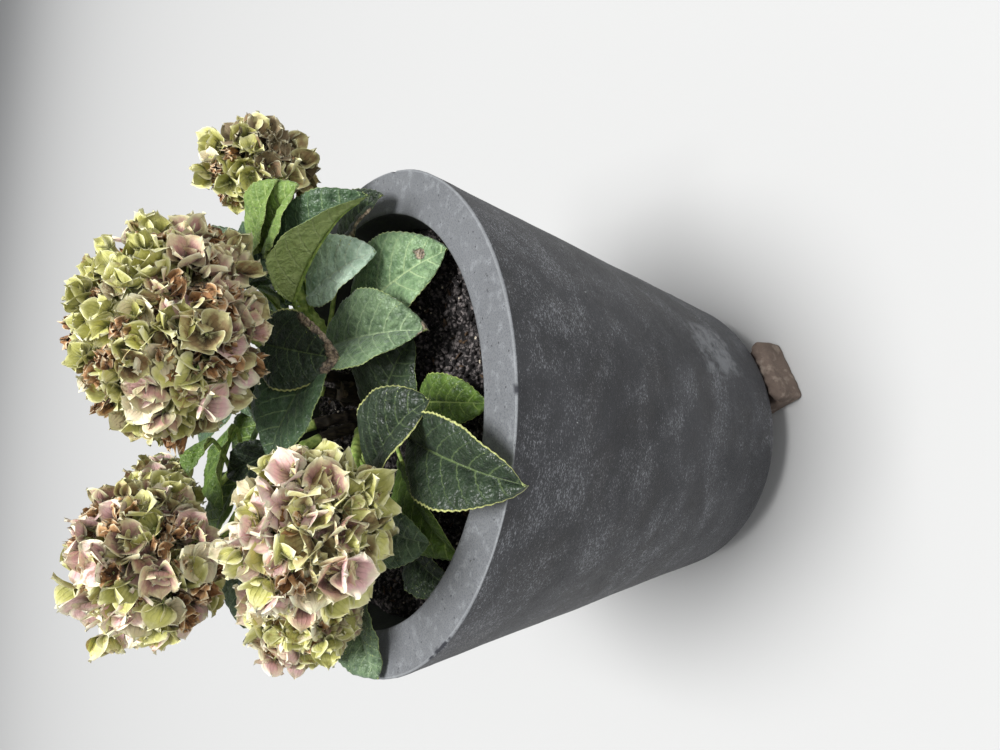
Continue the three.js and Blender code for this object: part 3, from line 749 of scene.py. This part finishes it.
def pot_profile():
    """The pot's section as radius, height and material: 0 the wall, 1 the rim, 2 the inside."""
    lean = math.atan2(RIM_RADIUS - BASE_RADIUS, POT_HEIGHT)
    along = BASE_ROUND * math.tan((math.pi / 2 - lean) / 2)
    bend = arc([BASE_RADIUS - along, BASE_ROUND], BASE_ROUND, np.linspace(-math.pi / 2, -lean, 12))
    top = np.array([RIM_RADIUS - math.tan(lean) * EDGE_ROUND, POT_HEIGHT - EDGE_ROUND])
    climb = np.array([*np.linspace(0, 1, 54)[1:-1], 0.993, 1])
    wall = bend[-1] + np.outer(1 - (1 - climb) ** WALL_SWELL, top - bend[-1])
    edge = arc(top - [EDGE_ROUND, 0], EDGE_ROUND, np.linspace(0, math.pi / 2, 5)[1:])
    inner = RIM_RADIUS - RIM_WIDTH
    face = [RIM_RADIUS - EDGE_ROUND - 0.7, *np.linspace(RIM_RADIUS - 4, inner + 2.5, 14)]
    face = [[radius, POT_HEIGHT] for radius in face]
    lip = np.array([inner - 0.3, POT_HEIGHT - 4])
    fall = [INNER_FLOOR_RADIUS - inner, FLOOR_THICKNESS - lip[1]]
    hollow = lip + np.outer(np.linspace(0.03, 1, 30), fall)
    parts = [
        [[3, 0], [50, 0], [85, 0], *bend, *wall],
        [*edge, *face, [inner + 0.8, POT_HEIGHT - 0.5]],
        [[inner, POT_HEIGHT - 2], lip, *hollow, [60, FLOOR_THICKNESS], [3, FLOOR_THICKNESS]],
    ]
    return np.array([(*row, kind) for kind, rows in enumerate(parts) for row in rows])


def make_pot():
    """The pot as one turned shell, a little out of true, with chips along its rim."""
    profile = pot_profile()
    rows = len(profile)
    radius, height, kinds = np.repeat(profile, POT_SIDES, axis=0).T
    turn = np.tile(ring_turns(POT_SIDES), rows)
    around = np.stack([np.cos(turn), np.sin(turn), np.zeros_like(turn)], 1)
    points = around * radius[:, None]
    points[:, 2] = height
    from_edge = np.hypot(radius - RIM_RADIUS, height - POT_HEIGHT)
    broken = np.zeros(len(points))
    for where, width, depth in CHIPS:
        gap = (np.degrees(turn) - where + 180) % 360 - 180
        along = np.radians(gap) * RIM_RADIUS / (width / 2)
        bite = np.sqrt(np.clip(1 - along**2, 0, 1)) * np.exp(-((from_edge / (depth * 1.4)) ** 2))
        points -= (around * 0.7 + [0, 0, 0.75]) * (bite * depth)[:, None]
        broken = np.maximum(broken, ease(0.15, 0.5, bite))
    wave = unevenness(points, POT_WAVES, SEEDS["pot"])
    free = ease(0, 40, height)
    points += np.where((kinds == 1)[:, None], [0, 0, 1], around) * (wave * free)[:, None]
    points[:, 2] = np.minimum(points[:, 2], POT_HEIGHT + 0.3)
    off_scuff = ((np.degrees(turn) - SCUFF["turn"]) / SCUFF["half_turn"]) ** 4
    off_scuff += ((height - SCUFF["height"]) / SCUFF["half_height"]) ** 4
    fields = {
        "height": height / POT_HEIGHT,
        # a pale line along the rim's outer edge: painted highlight
        "edge_highlight": ease(1.1, 0.5, np.abs(radius - RIM_RADIUS + 0.7)) * (kinds == 1),
        "broken": broken,
        "scuff": np.exp(-off_scuff),
    }
    pile = Pile()
    pile.add(points, grid_quads(rows, POT_SIDES, True), np.repeat(profile[1:, 2], POT_SIDES), **fields)
    ends = cap_quads(rows, POT_SIDES)
    pile.close(ends, np.repeat([0, 2], len(ends) // 2))
    materials = [pot_wall_material(), pot_rim_material(), pot_inside_material()]
    pile.piece("pot_shell", materials, ["pot"], "fibre_cement")


def blob_shape():
    """A rough ball of 24 quads."""
    grid = np.linspace(-1, 1, 3)
    a, b = np.meshgrid(grid, grid, indexing="ij")
    faces = []
    for axis in range(3):
        for sign in (-1, 1):
            face = np.stack([np.full_like(a, sign), a * sign, b], -1)
            faces.append(np.roll(face, axis, -1).reshape(-1, 3))
    quads = np.concatenate([grid_quads(3, 3) + 9 * i for i in range(6)])
    points = np.round(unit(np.concatenate(faces)), 4)
    keys = {}
    index = [keys.setdefault(tuple(point), len(keys)) for point in points]
    return np.array(list(keys)), np.array(index)[quads]


def soil_surface():
    """The soil's crumbly top, ring by ring from its middle."""
    radius = np.repeat(np.linspace(2, SOIL_RADIUS, SOIL_RINGS), SOIL_SIDES)
    turn = np.tile(ring_turns(SOIL_SIDES), SOIL_RINGS)
    points = np.stack([radius * np.cos(turn), radius * np.sin(turn), np.zeros_like(radius)], 1)
    rise = unevenness(points, SOIL_WAVES, SEEDS["soil"])
    clods = wander(points, SOIL_CLODS["pitch"], SEEDS["soil"] + len(SOIL_WAVES))
    rise += np.abs(clods) * SOIL_CLODS["height"]
    points[:, 2] = SOIL_Z + np.clip(rise, -4.5, 4) - 0.5
    return points


def make_soil():
    """The soil with a closed skirt down the pot's wall, then loose crumbs, bark bits and grit."""
    points = soil_surface()
    skirt = points[-SOIL_SIDES:] * [0.9, 0.9, 0] + [0, 0, SOIL_Z - SKIRT_DEPTH]
    pile = Pile()
    pile.add(np.concatenate([points, skirt]), grid_quads(SOIL_RINGS + 1, SOIL_SIDES, True))
    pile.close(cap_quads(SOIL_RINGS + 1, SOIL_SIDES))
    pile.piece("soil_top", [soil_material()], ["soil"], "soil")
    rng = np.random.default_rng(SEEDS["crumbs"])
    shape, shape_quads = blob_shape()
    crumbs = Pile()
    for i in range(CRUMB_COUNT):
        kind = int(np.searchsorted(CRUMB_SHARES, i / CRUMB_COUNT, "right"))
        size = [rng.uniform(*sizes) for sizes in CRUMB_SIZES][kind]
        spot = math.sqrt(rng.uniform(0, 1)) * (SOIL_RADIUS - 6)
        place = spot * heading(rng.uniform(0, 360), 0)
        ground = points[np.argmin(np.abs(points[:, :2] - place[:2]).sum(1)), 2]
        rough = shape * (1 + rng.uniform(-CRUMB_ROUGHNESS, CRUMB_ROUGHNESS, (len(shape), 1)))
        turn = np.array(Quaternion(unit(rng.normal(size=4))).to_matrix())
        turned = (rough * CRUMB_STRETCH[kind]) @ turn.T * size
        crumbs.add(turned + place + [0, 0, ground + size * CRUMB_LIFT], shape_quads, kind)
    grit = plain_grain_material("soil_grit", "8f8271", "cfc6b4", 500, 0.8, 0.0005)
    bits = plain_grain_material("soil_bark", "2a2019", "56432f", 400, 0.9, 0.0008)
    crumbs.piece("soil_crumbs", [soil_material(), bits, grit], [], "soil")


def softened_mesh(node):
    """The mesh of a CAD node with its edges worn soft."""
    made = add_object("shape", bpy.data.objects[node].data.copy())
    remesh = made.modifiers.new("remesh", "REMESH")
    remesh.mode = "VOXEL"
    remesh.voxel_size = FOOT_GRID
    made.modifiers.new("smooth", "SMOOTH").iterations = 6
    tree = bpy.context.evaluated_depsgraph_get()
    mesh = bpy.data.meshes.new_from_object(made.evaluated_get(tree))
    bpy.data.objects.remove(made)
    return mesh


def vectors_of(items, name):
    """The vector of this name from every item, one a row."""
    values = np.empty(len(items) * 3)
    items.foreach_get(name, values)
    return values.reshape(-1, 3)


def make_feet():
    """Each clay foot: the solid with soft worn edges, a pitted skin and a row of beads on its lip."""
    material = clay_material()
    for number, foot_turn in enumerate(FOOT_TURNS, 1):
        node = f"pot_foot_{number}"
        mesh = softened_mesh(node)
        points = vectors_of(mesh.vertices, "co") / MM
        out = heading(foot_turn, 0) * BEAD["reach"]
        level = heading(foot_turn + 90, 0) * BEAD["pitch"]
        swell = unevenness(points, FOOT_WAVES, SEEDS["feet"] + number, 10)
        for k in range(-2, 3):
            off = np.linalg.norm(points - out - level * k - [0, 0, BEAD["height"]], axis=1)
            swell += BEAD["swell"] * np.exp(-((off / BEAD["radius"]) ** 2))
        points += vectors_of(mesh.vertex_normals, "vector") * swell[:, None]
        points[:, 2] = np.maximum(points[:, 2], GROUND_Z)
        mesh.vertices.foreach_set("co", (points * MM).ravel())
        mesh.update()
        mesh.polygons.foreach_set("use_smooth", np.ones(len(mesh.polygons), bool))
        mesh.materials.clear()
        mesh.materials.append(material)
        piece = add_object(f"{node}_clay", mesh)
        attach(piece, "root")
        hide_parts(node)


def shoot_points(shoot, shares):
    """Points of a shoot, which leaves its place in the ring steeply and bends out to its top."""
    foot = CROWN + heading(shoot["ring"], 0) * CANE_RING
    top = np.array(shoot["top"], float)
    bend = foot + (top - foot) * [SHOOT_BEND["out"], SHOOT_BEND["out"], SHOOT_BEND["up"]]
    return bezier(foot, bend, top, shares)


def shoot_radius(shares):
    """A shoot thins evenly from its foot to its top."""
    return CANE_FOOT_RADIUS + (SHOOT_TIP_RADIUS - CANE_FOOT_RADIUS) * np.asarray(shares)


def ridged(path, radii, kind, seed):
    """Radii of a limb of this kind round and along its path, with bark's ridges."""
    rng = np.random.default_rng(seed)
    angle = ring_turns(SIDES[kind])
    rough = np.zeros((len(path), len(angle)))
    along = np.cumsum(np.r_[0, np.linalg.norm(np.diff(path, axis=0), axis=1)])
    for _ in range(7):
        lobes = rng.integers(2, 9)
        pitch = rng.uniform(6, 30)
        start = rng.uniform(0, 2 * math.pi)
        rough += np.sin(lobes * angle[None] + start + 2 * math.pi * along[:, None] / pitch) / 7
    return np.asarray(radii)[:, None] * (1 + rough * BARK_RIDGES[kind])


def add_cut_limb(pile, path, radii, kind, seed):
    """A limb with bark's ridges, whose far end is cut and shows the second material."""
    points, quads = tube(path, ridged(path, radii, kind, seed), SIDES[kind])
    kinds = np.zeros(len(quads), int)
    kinds[1 - SIDES[kind] // 2 :] = 1
    pile.add(points, quads, kinds)


def make_canes():
    """The old woody foot of each shoot, and the cut crown between them."""
    bark = bark_material()
    # The cut wood's colours are darkened as painted shade, as are the bark's
    cut = plain_grain_material("cut_wood", "33291e", "5a4b38", 300, 0.8, 0.0006)
    for number, (name, shoot) in enumerate(SHOOTS.items()):
        shares = np.linspace(-0.012, CANE_SHARE, 40)
        path = shoot_points(shoot, shares)
        off_knot = np.modf(shares * CANE_KNOT["count"] + 0.5)[0] - 0.5
        knots = 1 + CANE_KNOT["swell"] * np.exp(-(off_knot**2) / CANE_KNOT["spread"])
        radii = shoot_radius(shares) * knots
        radii[shares < 0.02] *= 1.12
        pile = Pile()
        radii = ridged(path, radii, "cane", SEEDS["canes"] + number)
        pile.add(*tube(path, radii, SIDES["cane"]))
        pile.piece(f"bark_{name}", [bark], [f"cane_{name}"], "old_wood")
    pile = Pile()
    path = CROWN + np.outer(np.linspace(-0.05, 1, 26), CROWN_AXIS)
    widths = [CROWN_RADIUS, CROWN_RADIUS * 0.86, CROWN_TOP_RADIUS]
    radii = np.interp(np.linspace(0, 1, 26), [0, 0.2, 1], widths)
    add_cut_limb(pile, path, radii, "crown", SEEDS["crown"])
    for turn, rise, length in STUBS:
        stub = STUB_FOOT + np.outer(np.linspace(0, 1, 10), heading(turn, rise) * length)
        add_cut_limb(pile, stub, np.linspace(*STUB_RADII, 10), "stub", SEEDS["stubs"] + turn)
    pile.piece("crown_bark", [bark, cut], ["crown"], "old_wood")


def leaf_record(on, row):
    """A leaf on this shoot, with its parts by name. A leaf that isn't burnt has None there."""
    leaf = dict(zip(LEAF_PARTS, [*row, None]), on=on)
    leaf["foot"] = np.array(leaf["foot"], float)
    return leaf


def all_leaves():
    """The leaves of both tables, in the source's order."""
    leaves = [leaf_record(on, row) for on, rows in FRONT_LEAVES.items() for row in rows]
    numbers = source_numbers(SIDE_LEAF["seed"])
    tones = np.random.default_rng(SEEDS["tones"])
    for on, rows in SIDE_LEAVES.items():
        for at, turn, rise, length in rows:
            roll = SIDE_LEAF["roll"] * (2 * next(numbers) - 1)
            start = shoot_points(SHOOTS[on], [at])[0]
            foot = start + heading(turn, rise + SIDE_LEAF["lift"]) * SIDE_LEAF["stalk"] * length
            width = length * SIDE_LEAF["slimness"]
            tone = SIDE_TONES[tones.integers(len(SIDE_TONES))]
            row = [at, foot, turn, rise, length, width, roll, SIDE_LEAF["fold"], tone]
            leaves.append(leaf_record(on, row))
    return leaves


def half_width(shares, width):
    """How far the blade reaches to each side at these shares of its length."""
    return width / 2 * np.sin(math.pi * np.clip(shares, 0, 1)) ** OUTLINE_FULLNESS


def blade_points(leaf, shares, reach, lift):
    """Points of the blade at these shares, this far to a side, lifted off the surface by this much."""
    ahead = heading(leaf["turn"], leaf["rise"])
    level = heading(leaf["turn"] + 90, 0)
    roll = math.radians(leaf["roll"])
    side = level * math.cos(roll) + np.cross(ahead, level) * math.sin(roll)
    fold = math.radians(leaf["fold"])
    arch = BLADE_ARCH * leaf["length"] * 4 * shares * (1 - shares)
    height = np.abs(reach) * math.sin(fold) + arch + lift
    return (
        leaf["foot"]
        + ahead * (shares * leaf["length"])[..., None]
        + side * (reach * math.cos(fold))[..., None]
        + np.cross(ahead, side) * height[..., None]
    )


def tip_droop(leaf, share):
    """How far the blade hangs down towards its tip."""
    return TIP_DROOP * leaf["length"] * ease(0.7, 1, share) ** 1.5


def midrib_depth(share):
    """How far the midrib is sunk, which runs out towards the tip."""
    return MIDRIB_DEPTH * ease(1, 0.6, share)


def burn_amount(kind, share, across):
    """How far the blade is scorched, from 0 to 1, in the way that this kind says."""
    if kind == "tip":
        return ease(0.93, 1.02, share)
    if kind == "spot":
        return 1.1 * np.exp(-(((share - 0.84) / 0.04) ** 2) - ((across - 0.24) / 0.14) ** 2)
    if kind == "margin":
        upper = ease(0.5, 0.95, across) * ease(0.4, 0.8, share)
        return np.maximum(upper, 0.9 * ease(0.8, 0.97, share))
    if kind == "edge":
        along = ease(0.35, 0.5, share) * ease(0.97, 0.85, share)
        return ease(0.6, 0.9, -across) * along
    return np.zeros_like(share)


def tooth_reach(share, across, teeth):
    """How far the teeth take the blade's edge out or in."""
    tooth = np.mod(share * teeth, 1)
    saw = np.where(tooth < TOOTH_RISE, tooth / TOOTH_RISE, 0)
    saw *= ease(0.03, 0.1, share) * ease(1, 0.97, share)
    return np.sign(across) * np.abs(across) ** 6 * TOOTH_DEPTH * (saw - 0.5)


def quilt_height(share, across, spread, width):
    """The puffs between the side veins, which calm down at the midrib, the edges and the foot."""
    side = np.abs(across)
    off = np.abs(np.mod(vein_phase(share, across, spread) + 0.5, 1) - 0.5)
    calm = ease(0, 0.1, side) * ease(1.05, 0.7, side) * ease(0, 0.08, share)
    return np.sqrt(np.clip(off * 2, 0, 1)) * QUILT * calm * np.clip(width / 18, 0, 1)


def edge_waves(share, across, rng):
    """Long waves and short ripples that grow towards the edges and differ from side to side."""
    side = np.abs(across)
    start = rng.uniform(0, 2 * math.pi, 3)
    wave = np.sin(share * rng.uniform(7, 10) + start[0] + np.where(across > 0, 2.1, 0)) * side**2
    ripple = np.sin(share * rng.uniform(22, 30) + start[1] + np.where(across > 0, 1.3, 0)) * side**4
    return wave * EDGE_WAVE + ripple * EDGE_RIPPLE


def add_blade(pile, leaf, number):
    """One blade: toothed, quilted between its veins, thin, with its own under side."""
    rng = np.random.default_rng(SEEDS["blades"] + number)
    teeth = max(8, round(leaf["length"] / TOOTH_PITCH))
    rows = 3 * teeth + 1
    edges = np.array([-e for e in reversed(BLADE_EDGES[1:])] + BLADE_EDGES)
    columns = len(edges)
    share, across = np.meshgrid(np.linspace(0, 1, rows), edges, indexing="ij")
    side = np.abs(across)
    width = half_width(share, leaf["width"])
    reach = across * width + tooth_reach(share, across, teeth) * (width > 0.5)
    spread = side * width / (leaf["width"] / 2)
    lift = quilt_height(share, across, spread, width) + edge_waves(share, across, rng)
    lift += BLADE_CURL * leaf["width"] * side**2 * (1 - side) - tip_droop(leaf, share)
    lift -= midrib_depth(share) * ease(0.12, 0, side)
    points = blade_points(leaf, share, reach, lift)
    normal = unit(np.cross(np.gradient(points, axis=0), np.gradient(points, axis=1)))
    under = points - normal * BLADE_THICKNESS * (1 - 0.7 * side**4)[..., None]
    fields = {
        "blade": np.stack([share, across, spread], -1).reshape(-1, 3),
        "tint": np.full(share.size, rng.uniform(0.2, 0.9)),
        "burn": burn_amount(leaf["burn"], share, across).ravel(),
    }
    quads = grid_quads(rows, columns)
    left = np.arange(rows - 1) * columns + pile.count
    right = left + columns - 1
    down = rows * columns
    pile.add(points.reshape(-1, 3), quads, TONES.index(leaf["tone"]), **fields)
    pile.add(under.reshape(-1, 3), quads[:, ::-1], len(TONES), **fields)
    pile.close(np.stack([left, left + columns, left + columns + down, left + down], -1), len(TONES))
    pile.close(np.stack([right + columns, right, right + down, right + columns + down], -1), len(TONES))


def add_stalk(pile, leaf):
    """The leaf's stalk, which runs on under the blade as its midrib."""
    start = shoot_points(SHOOTS[leaf["on"]], [leaf["at"]])[0]
    bend = leaf["foot"] - heading(leaf["turn"], leaf["rise"]) * STALK["behind"] * leaf["length"]
    bend = bend + (start - bend) * STALK["lean"]
    stop = blade_points(leaf, np.array([0.02]), np.zeros(1), np.array([-1.9]))[0]
    stalk = bezier(start, bend, stop, np.linspace(0, 1, STALK["steps"]))
    shares = np.linspace(0.06, 0.93, RIB_STEPS)
    thick = np.linspace(1.5, 0.35, RIB_STEPS)
    below = midrib_depth(shares) + thick + 0.2 + tip_droop(leaf, shares)
    rib = blade_points(leaf, shares, np.zeros(RIB_STEPS), -below)
    radii = np.concatenate([[3, 2.6, 2.2], np.linspace(2.1, 1.55, STALK["steps"])[3:], thick])
    pile.add(*tube(np.concatenate([stalk, rib]), radii, SIDES["stalk"]))


def add_green_stem(pile, shoot, leaves):
    """The green part of a shoot, with a knot at each leaf, which runs on into its flower head."""
    shares = np.linspace(CANE_SHARE, 1, 60)
    path = shoot_points(shoot, shares)
    radii = shoot_radius(shares)
    for leaf in leaves:
        radii = radii + LEAF_KNOT["swell"] * np.exp(-(((shares - leaf["at"]) / LEAF_KNOT["reach"]) ** 2))
    if "head" in shoot:
        bend = path[-1] + unit(path[-1] - path[-2]) * 12
        more = bezier(path[-1], bend, np.array(shoot["head"], float), np.linspace(0, 1, 12)[1:])
        path = np.concatenate([path, more])
        radii = np.concatenate([radii, np.full(len(more), SHOOT_TIP_RADIUS)])
    pile.add(*tube(path, radii, SIDES["stem"]))


def make_leaves():
    """Per shoot, a piece with its green stem and stalks, and one with its blades."""
    stem_green = plain_grain_material("stem_green", "7a9546", "b2c36c", 260, 0.5, 0.0004)
    faces = [leaf_top_material(f"leaf_{tone}", *look) for tone, look in LEAF_TONES.items()]
    faces.append(leaf_under_material())
    leaves = list(enumerate(all_leaves()))
    for name, shoot in SHOOTS.items():
        own = [(number, leaf) for number, leaf in leaves if leaf["on"] == name]
        twigs = Pile()
        blades = Pile()
        add_green_stem(twigs, shoot, [leaf for _, leaf in own])
        for number, leaf in own:
            add_stalk(twigs, leaf)
            add_blade(blades, leaf, number)
        twigs.piece(f"stems_{name}", [stem_green], [f"leaves_{name}"], "leaf")
        blades.piece(f"blades_{name}", faces, [f"leaves_{name}"], "leaf")


def turned_onto(direction):
    """The rotation that carries +Z onto this direction, which never points straight down."""
    x, y, z = direction
    k = 1 / (1 + z)
    return np.array([[1 - x * x * k, -x * y * k, x], [-x * y * k, 1 - y * y * k, y], [-x, -y, z]])


def head_spots(axes, sizes, rng):
    """Every floret's layer and its direction from the middle of a head that stands upright."""
    for layer in LAYERS:
        mean = axes.mean() * layer["share"]
        spacing = layer["spacing"] * sum(sizes) / 2
        count = round(4 * math.pi * mean**2 * HEAD_COVER / spacing**2)
        heights = 1 - 2 * HEAD_COVER * (np.arange(count) + 0.5) / count
        turns = np.arange(count) * GOLDEN_TURN + rng.uniform(0, 6)
        flat = np.sqrt(np.clip(1 - heights**2, 0, 1))
        for direction in np.stack([flat * np.cos(turns), flat * np.sin(turns), heights], 1):
            yield layer, direction


def floret_kind(look, near, clump, layer, rng):
    """A kind drawn by the weights of both sides. Dry florets clump, and there are more inside."""
    _, front, back, _ = look
    weights = np.array([front.get(kind, 0) * near + back.get(kind, 0) * (1 - near) for kind in KINDS])
    inside = DRY["inside"] if layer["share"] < 1 else 1
    weights[KINDS.index("dry")] *= math.exp(DRY["clump"] * clump) * inside
    return KINDS[rng.choice(len(KINDS), p=weights / weights.sum())]


def sepal_sheet(reach, steep, flare, crumple, twist, rng):
    """How far the points of one broad, wavy, cupped sepal lie out, to the side and up from its foot."""
    along, across = SEPAL_GRID
    t = along[:, 0]
    broad = reach * SEPAL["width"] * np.sin(math.pi * np.clip(along, 0.02, 1)) ** SEPAL["fullness"]
    sideways = across * np.where(along > 0.999, reach * SEPAL["tip"], broad)
    point = SEPAL["point"] * reach * (1 - np.abs(across)) ** 1.5 * ease(0.7, 1, along)
    climb = 0.25 + 0.75 * ease(0, 0.4, t)
    angles = np.radians(steep * climb * (1 - flare * ease(0.5, 1, t)))
    run = np.cumsum(np.r_[0, np.cos(angles[:-1])]) / (SEPAL_ROWS - 1)
    rise = np.cumsum(np.r_[0, np.sin(angles[:-1])]) / (SEPAL_ROWS - 1)
    last = angles[-1]
    forward = run[:, None] * reach + point * math.cos(last)
    forward -= SEPAL["cup"] * sideways**2 / reach * math.sin(math.radians(min(steep, 90)))
    height = rise[:, None] * reach + point * math.sin(last)
    start = rng.uniform(0, 2 * math.pi, 3)
    wave = np.sin(across * 3.4 + start[0]) * 0.8 + np.sin(across * 6.5 + along * 5 + start[1]) * 0.6
    wave *= np.maximum(np.abs(across), along**1.5) ** 2 * reach * SEPAL["wave"]
    if crumple:
        fold = np.sin(along * rng.uniform(6, 11) + across * rng.uniform(-7, 7) + start[1])
        fold += np.sin(along * rng.uniform(-6, 6) + across * rng.uniform(5, 10) + start[2])
        height += fold * crumple
        forward += np.cos(across * 6 + along * 5 + start[0]) * crumple
    forward -= wave * math.sin(last)
    height += wave * math.cos(last) + sideways * twist
    return forward, sideways, height


def add_floret(pile, kind, place, outward, look, rng):
    """Four sepals round a green bead, tilted a little off this way outward. Gives the way it faces."""
    reach, steep, flare = look
    n = unit(outward + rng.normal(0, FLORET_TILT, 3))
    r = unit(np.cross(n, [0.3, 0.2, 0.93]))
    s = np.cross(n, r)
    spin = rng.uniform(0, math.pi / 2)
    field = np.stack([*SEPAL_GRID, np.full_like(SEPAL_GRID[0], rng.uniform(0, 1))], -1).reshape(-1, 3)
    quads = grid_quads(SEPAL_ROWS, SEPAL_COLUMNS)
    for k in range(4):
        turn = spin + k * math.pi / 2 + rng.normal(0, 0.1)
        own = steep + rng.normal(0, 8) + 5 * (k % 2)
        crumple = rng.uniform(1.3, 2.5) if kind == "dry" else 0
        length = reach * rng.uniform(0.85, 1.12)
        forward, sideways, height = sepal_sheet(length, own, flare, crumple, rng.normal(0, 0.22), rng)
        out = r * math.cos(turn) + s * math.sin(turn)
        level = np.cross(n, out)
        points = place + out * forward[..., None] + level * sideways[..., None] + n * height[..., None]
        pile.add(points.reshape(-1, 3), quads, KINDS.index(kind), sepal=field)
    bead, bead_quads = blob_shape()
    pile.add(bead * 1.1 + place + n * 0.8, bead_quads, len(KINDS), sepal=np.zeros((len(bead), 3)))
    return n


def make_heads():
    """Each flower head: florets in two layers, each on a thin stalk from the shoot's end."""
    sepals = [sepal_material(kind) for kind in KINDS]
    bead_green = plain_grain_material("floret_bead", "8c9c56", "c9cf9a", 900, 0.5, 0.0002)
    stalk_green = plain_grain_material("floret_stalk", "7b8b48", "b3b37c", 400, 0.6, 0.0003)
    for seed, (name, look) in enumerate(HEADS.items(), SEEDS["heads"]):
        rng = np.random.default_rng(seed)
        middle, axes, top = [np.array(SHOOTS[name][part], float) for part in ("head", "axes", "top")]
        upright = turned_onto(unit(middle - top))
        faces, _, _, sizes = look
        florets = Pile()
        stalks = Pile()
        for layer, direction in head_spots(axes, sizes, rng):
            outward = unit(upright @ direction + rng.normal(0, 0.06, 3))
            near = ease(-0.75, 0.85, outward @ unit(faces))
            kind = floret_kind(look, near, wander(outward[None] * 50, 45, seed)[0], layer, rng)
            size = (sizes[1] + (sizes[0] - sizes[1]) * near) * (DRY["size"] if kind == "dry" else 1)
            shape = [rng.uniform(*span) for span in (FLORET_SIZE, SEPALS[kind][4], FLORET_FLARE)]
            shape[0] *= size
            sink = rng.uniform(*SINK_SPREAD) * layer["sink"]
            on_shell = outward * axes * layer["share"]
            lump = wander(outward[None] * 50, 60, seed + 50)[0] * HEAD_LUMP
            place = middle + on_shell * (1 + lump - sink / np.linalg.norm(on_shell))
            n = add_floret(florets, kind, place, outward, shape, rng)
            root = middle + (place - middle) * 0.3 - unit(middle - top) * axes.mean() * 0.15
            path = bezier(root, root + (place - root) * 0.6 - n * 4, place, np.linspace(0, 1, 6))
            stalks.add(*tube(path, np.linspace(1.0, 0.7, 6), SIDES["floret_stalk"]))
        florets.piece(f"florets_{name}", [*sepals, bead_green], [f"bloom_{name}"], "petal")
        stalks.piece(f"floret_stalks_{name}", [stalk_green], [f"bloom_{name}"], "petal")


def make_floor():
    """The plain pale floor under the feet."""
    z = GROUND_Z * MM
    signs = ((-1, -1), (1, -1), (1, 1), (-1, 1))
    mesh = bpy.data.meshes.new("floor")
    mesh.from_pydata([(x * FLOOR_REACH, y * FLOOR_REACH, z) for x, y in signs], [], [(0, 1, 2, 3)])
    s = Shader("floor_pale", 0.8, 0.3)
    s.colour = FLOOR_COLOUR
    mesh.materials.append(s.finish())
    floor = add_object("floor", mesh)


def add_placed(name, data, axes, place):
    """An object at this place in metres, with these unit vectors as its own axes."""
    made = add_object(name, data)
    made.matrix_world = Matrix([*zip(*axes, place), (0, 0, 0, 1)])
    return made


def area_light(name, place, size, power):
    """A square light that faces the plant."""
    light = bpy.data.lights.new(name, "AREA")
    light.size = size
    light.energy = power
    back = unit(np.array(place) - LIGHT_TARGET)
    side = unit(np.cross([0.02, 1, 0.01], back))
    add_placed(name, light, (side, np.cross(back, side), back), place)


def make_studio():
    """A pale sky, a broad light overhead, a weak one in front, and the photograph's camera."""
    world = bpy.data.worlds.new("studio")
    world.use_nodes = True
    sky = world.node_tree.nodes["Background"].inputs
    sky["Color"].default_value = SKY_COLOUR
    sky["Strength"].default_value = SKY_STRENGTH
    bpy.context.scene.world = world
    for name, look in LIGHTS.items():
        area_light(name, *look)
    camera = bpy.data.cameras.new("camera")
    camera.lens = CAMERA_LENS
    camera.sensor_width = CAMERA_SENSOR
    axes = (CAMERA_RIGHT, CAMERA_UP, CAMERA_BACK)
    bpy.context.scene.camera = add_placed("camera", camera, axes, CAMERA_PLACE)
    bpy.context.scene.view_settings.view_transform = "Standard"


make_pot()
make_soil()
make_feet()
make_canes()
make_leaves()
make_heads()
make_floor()
make_studio()

bpy.context.view_layer.update()
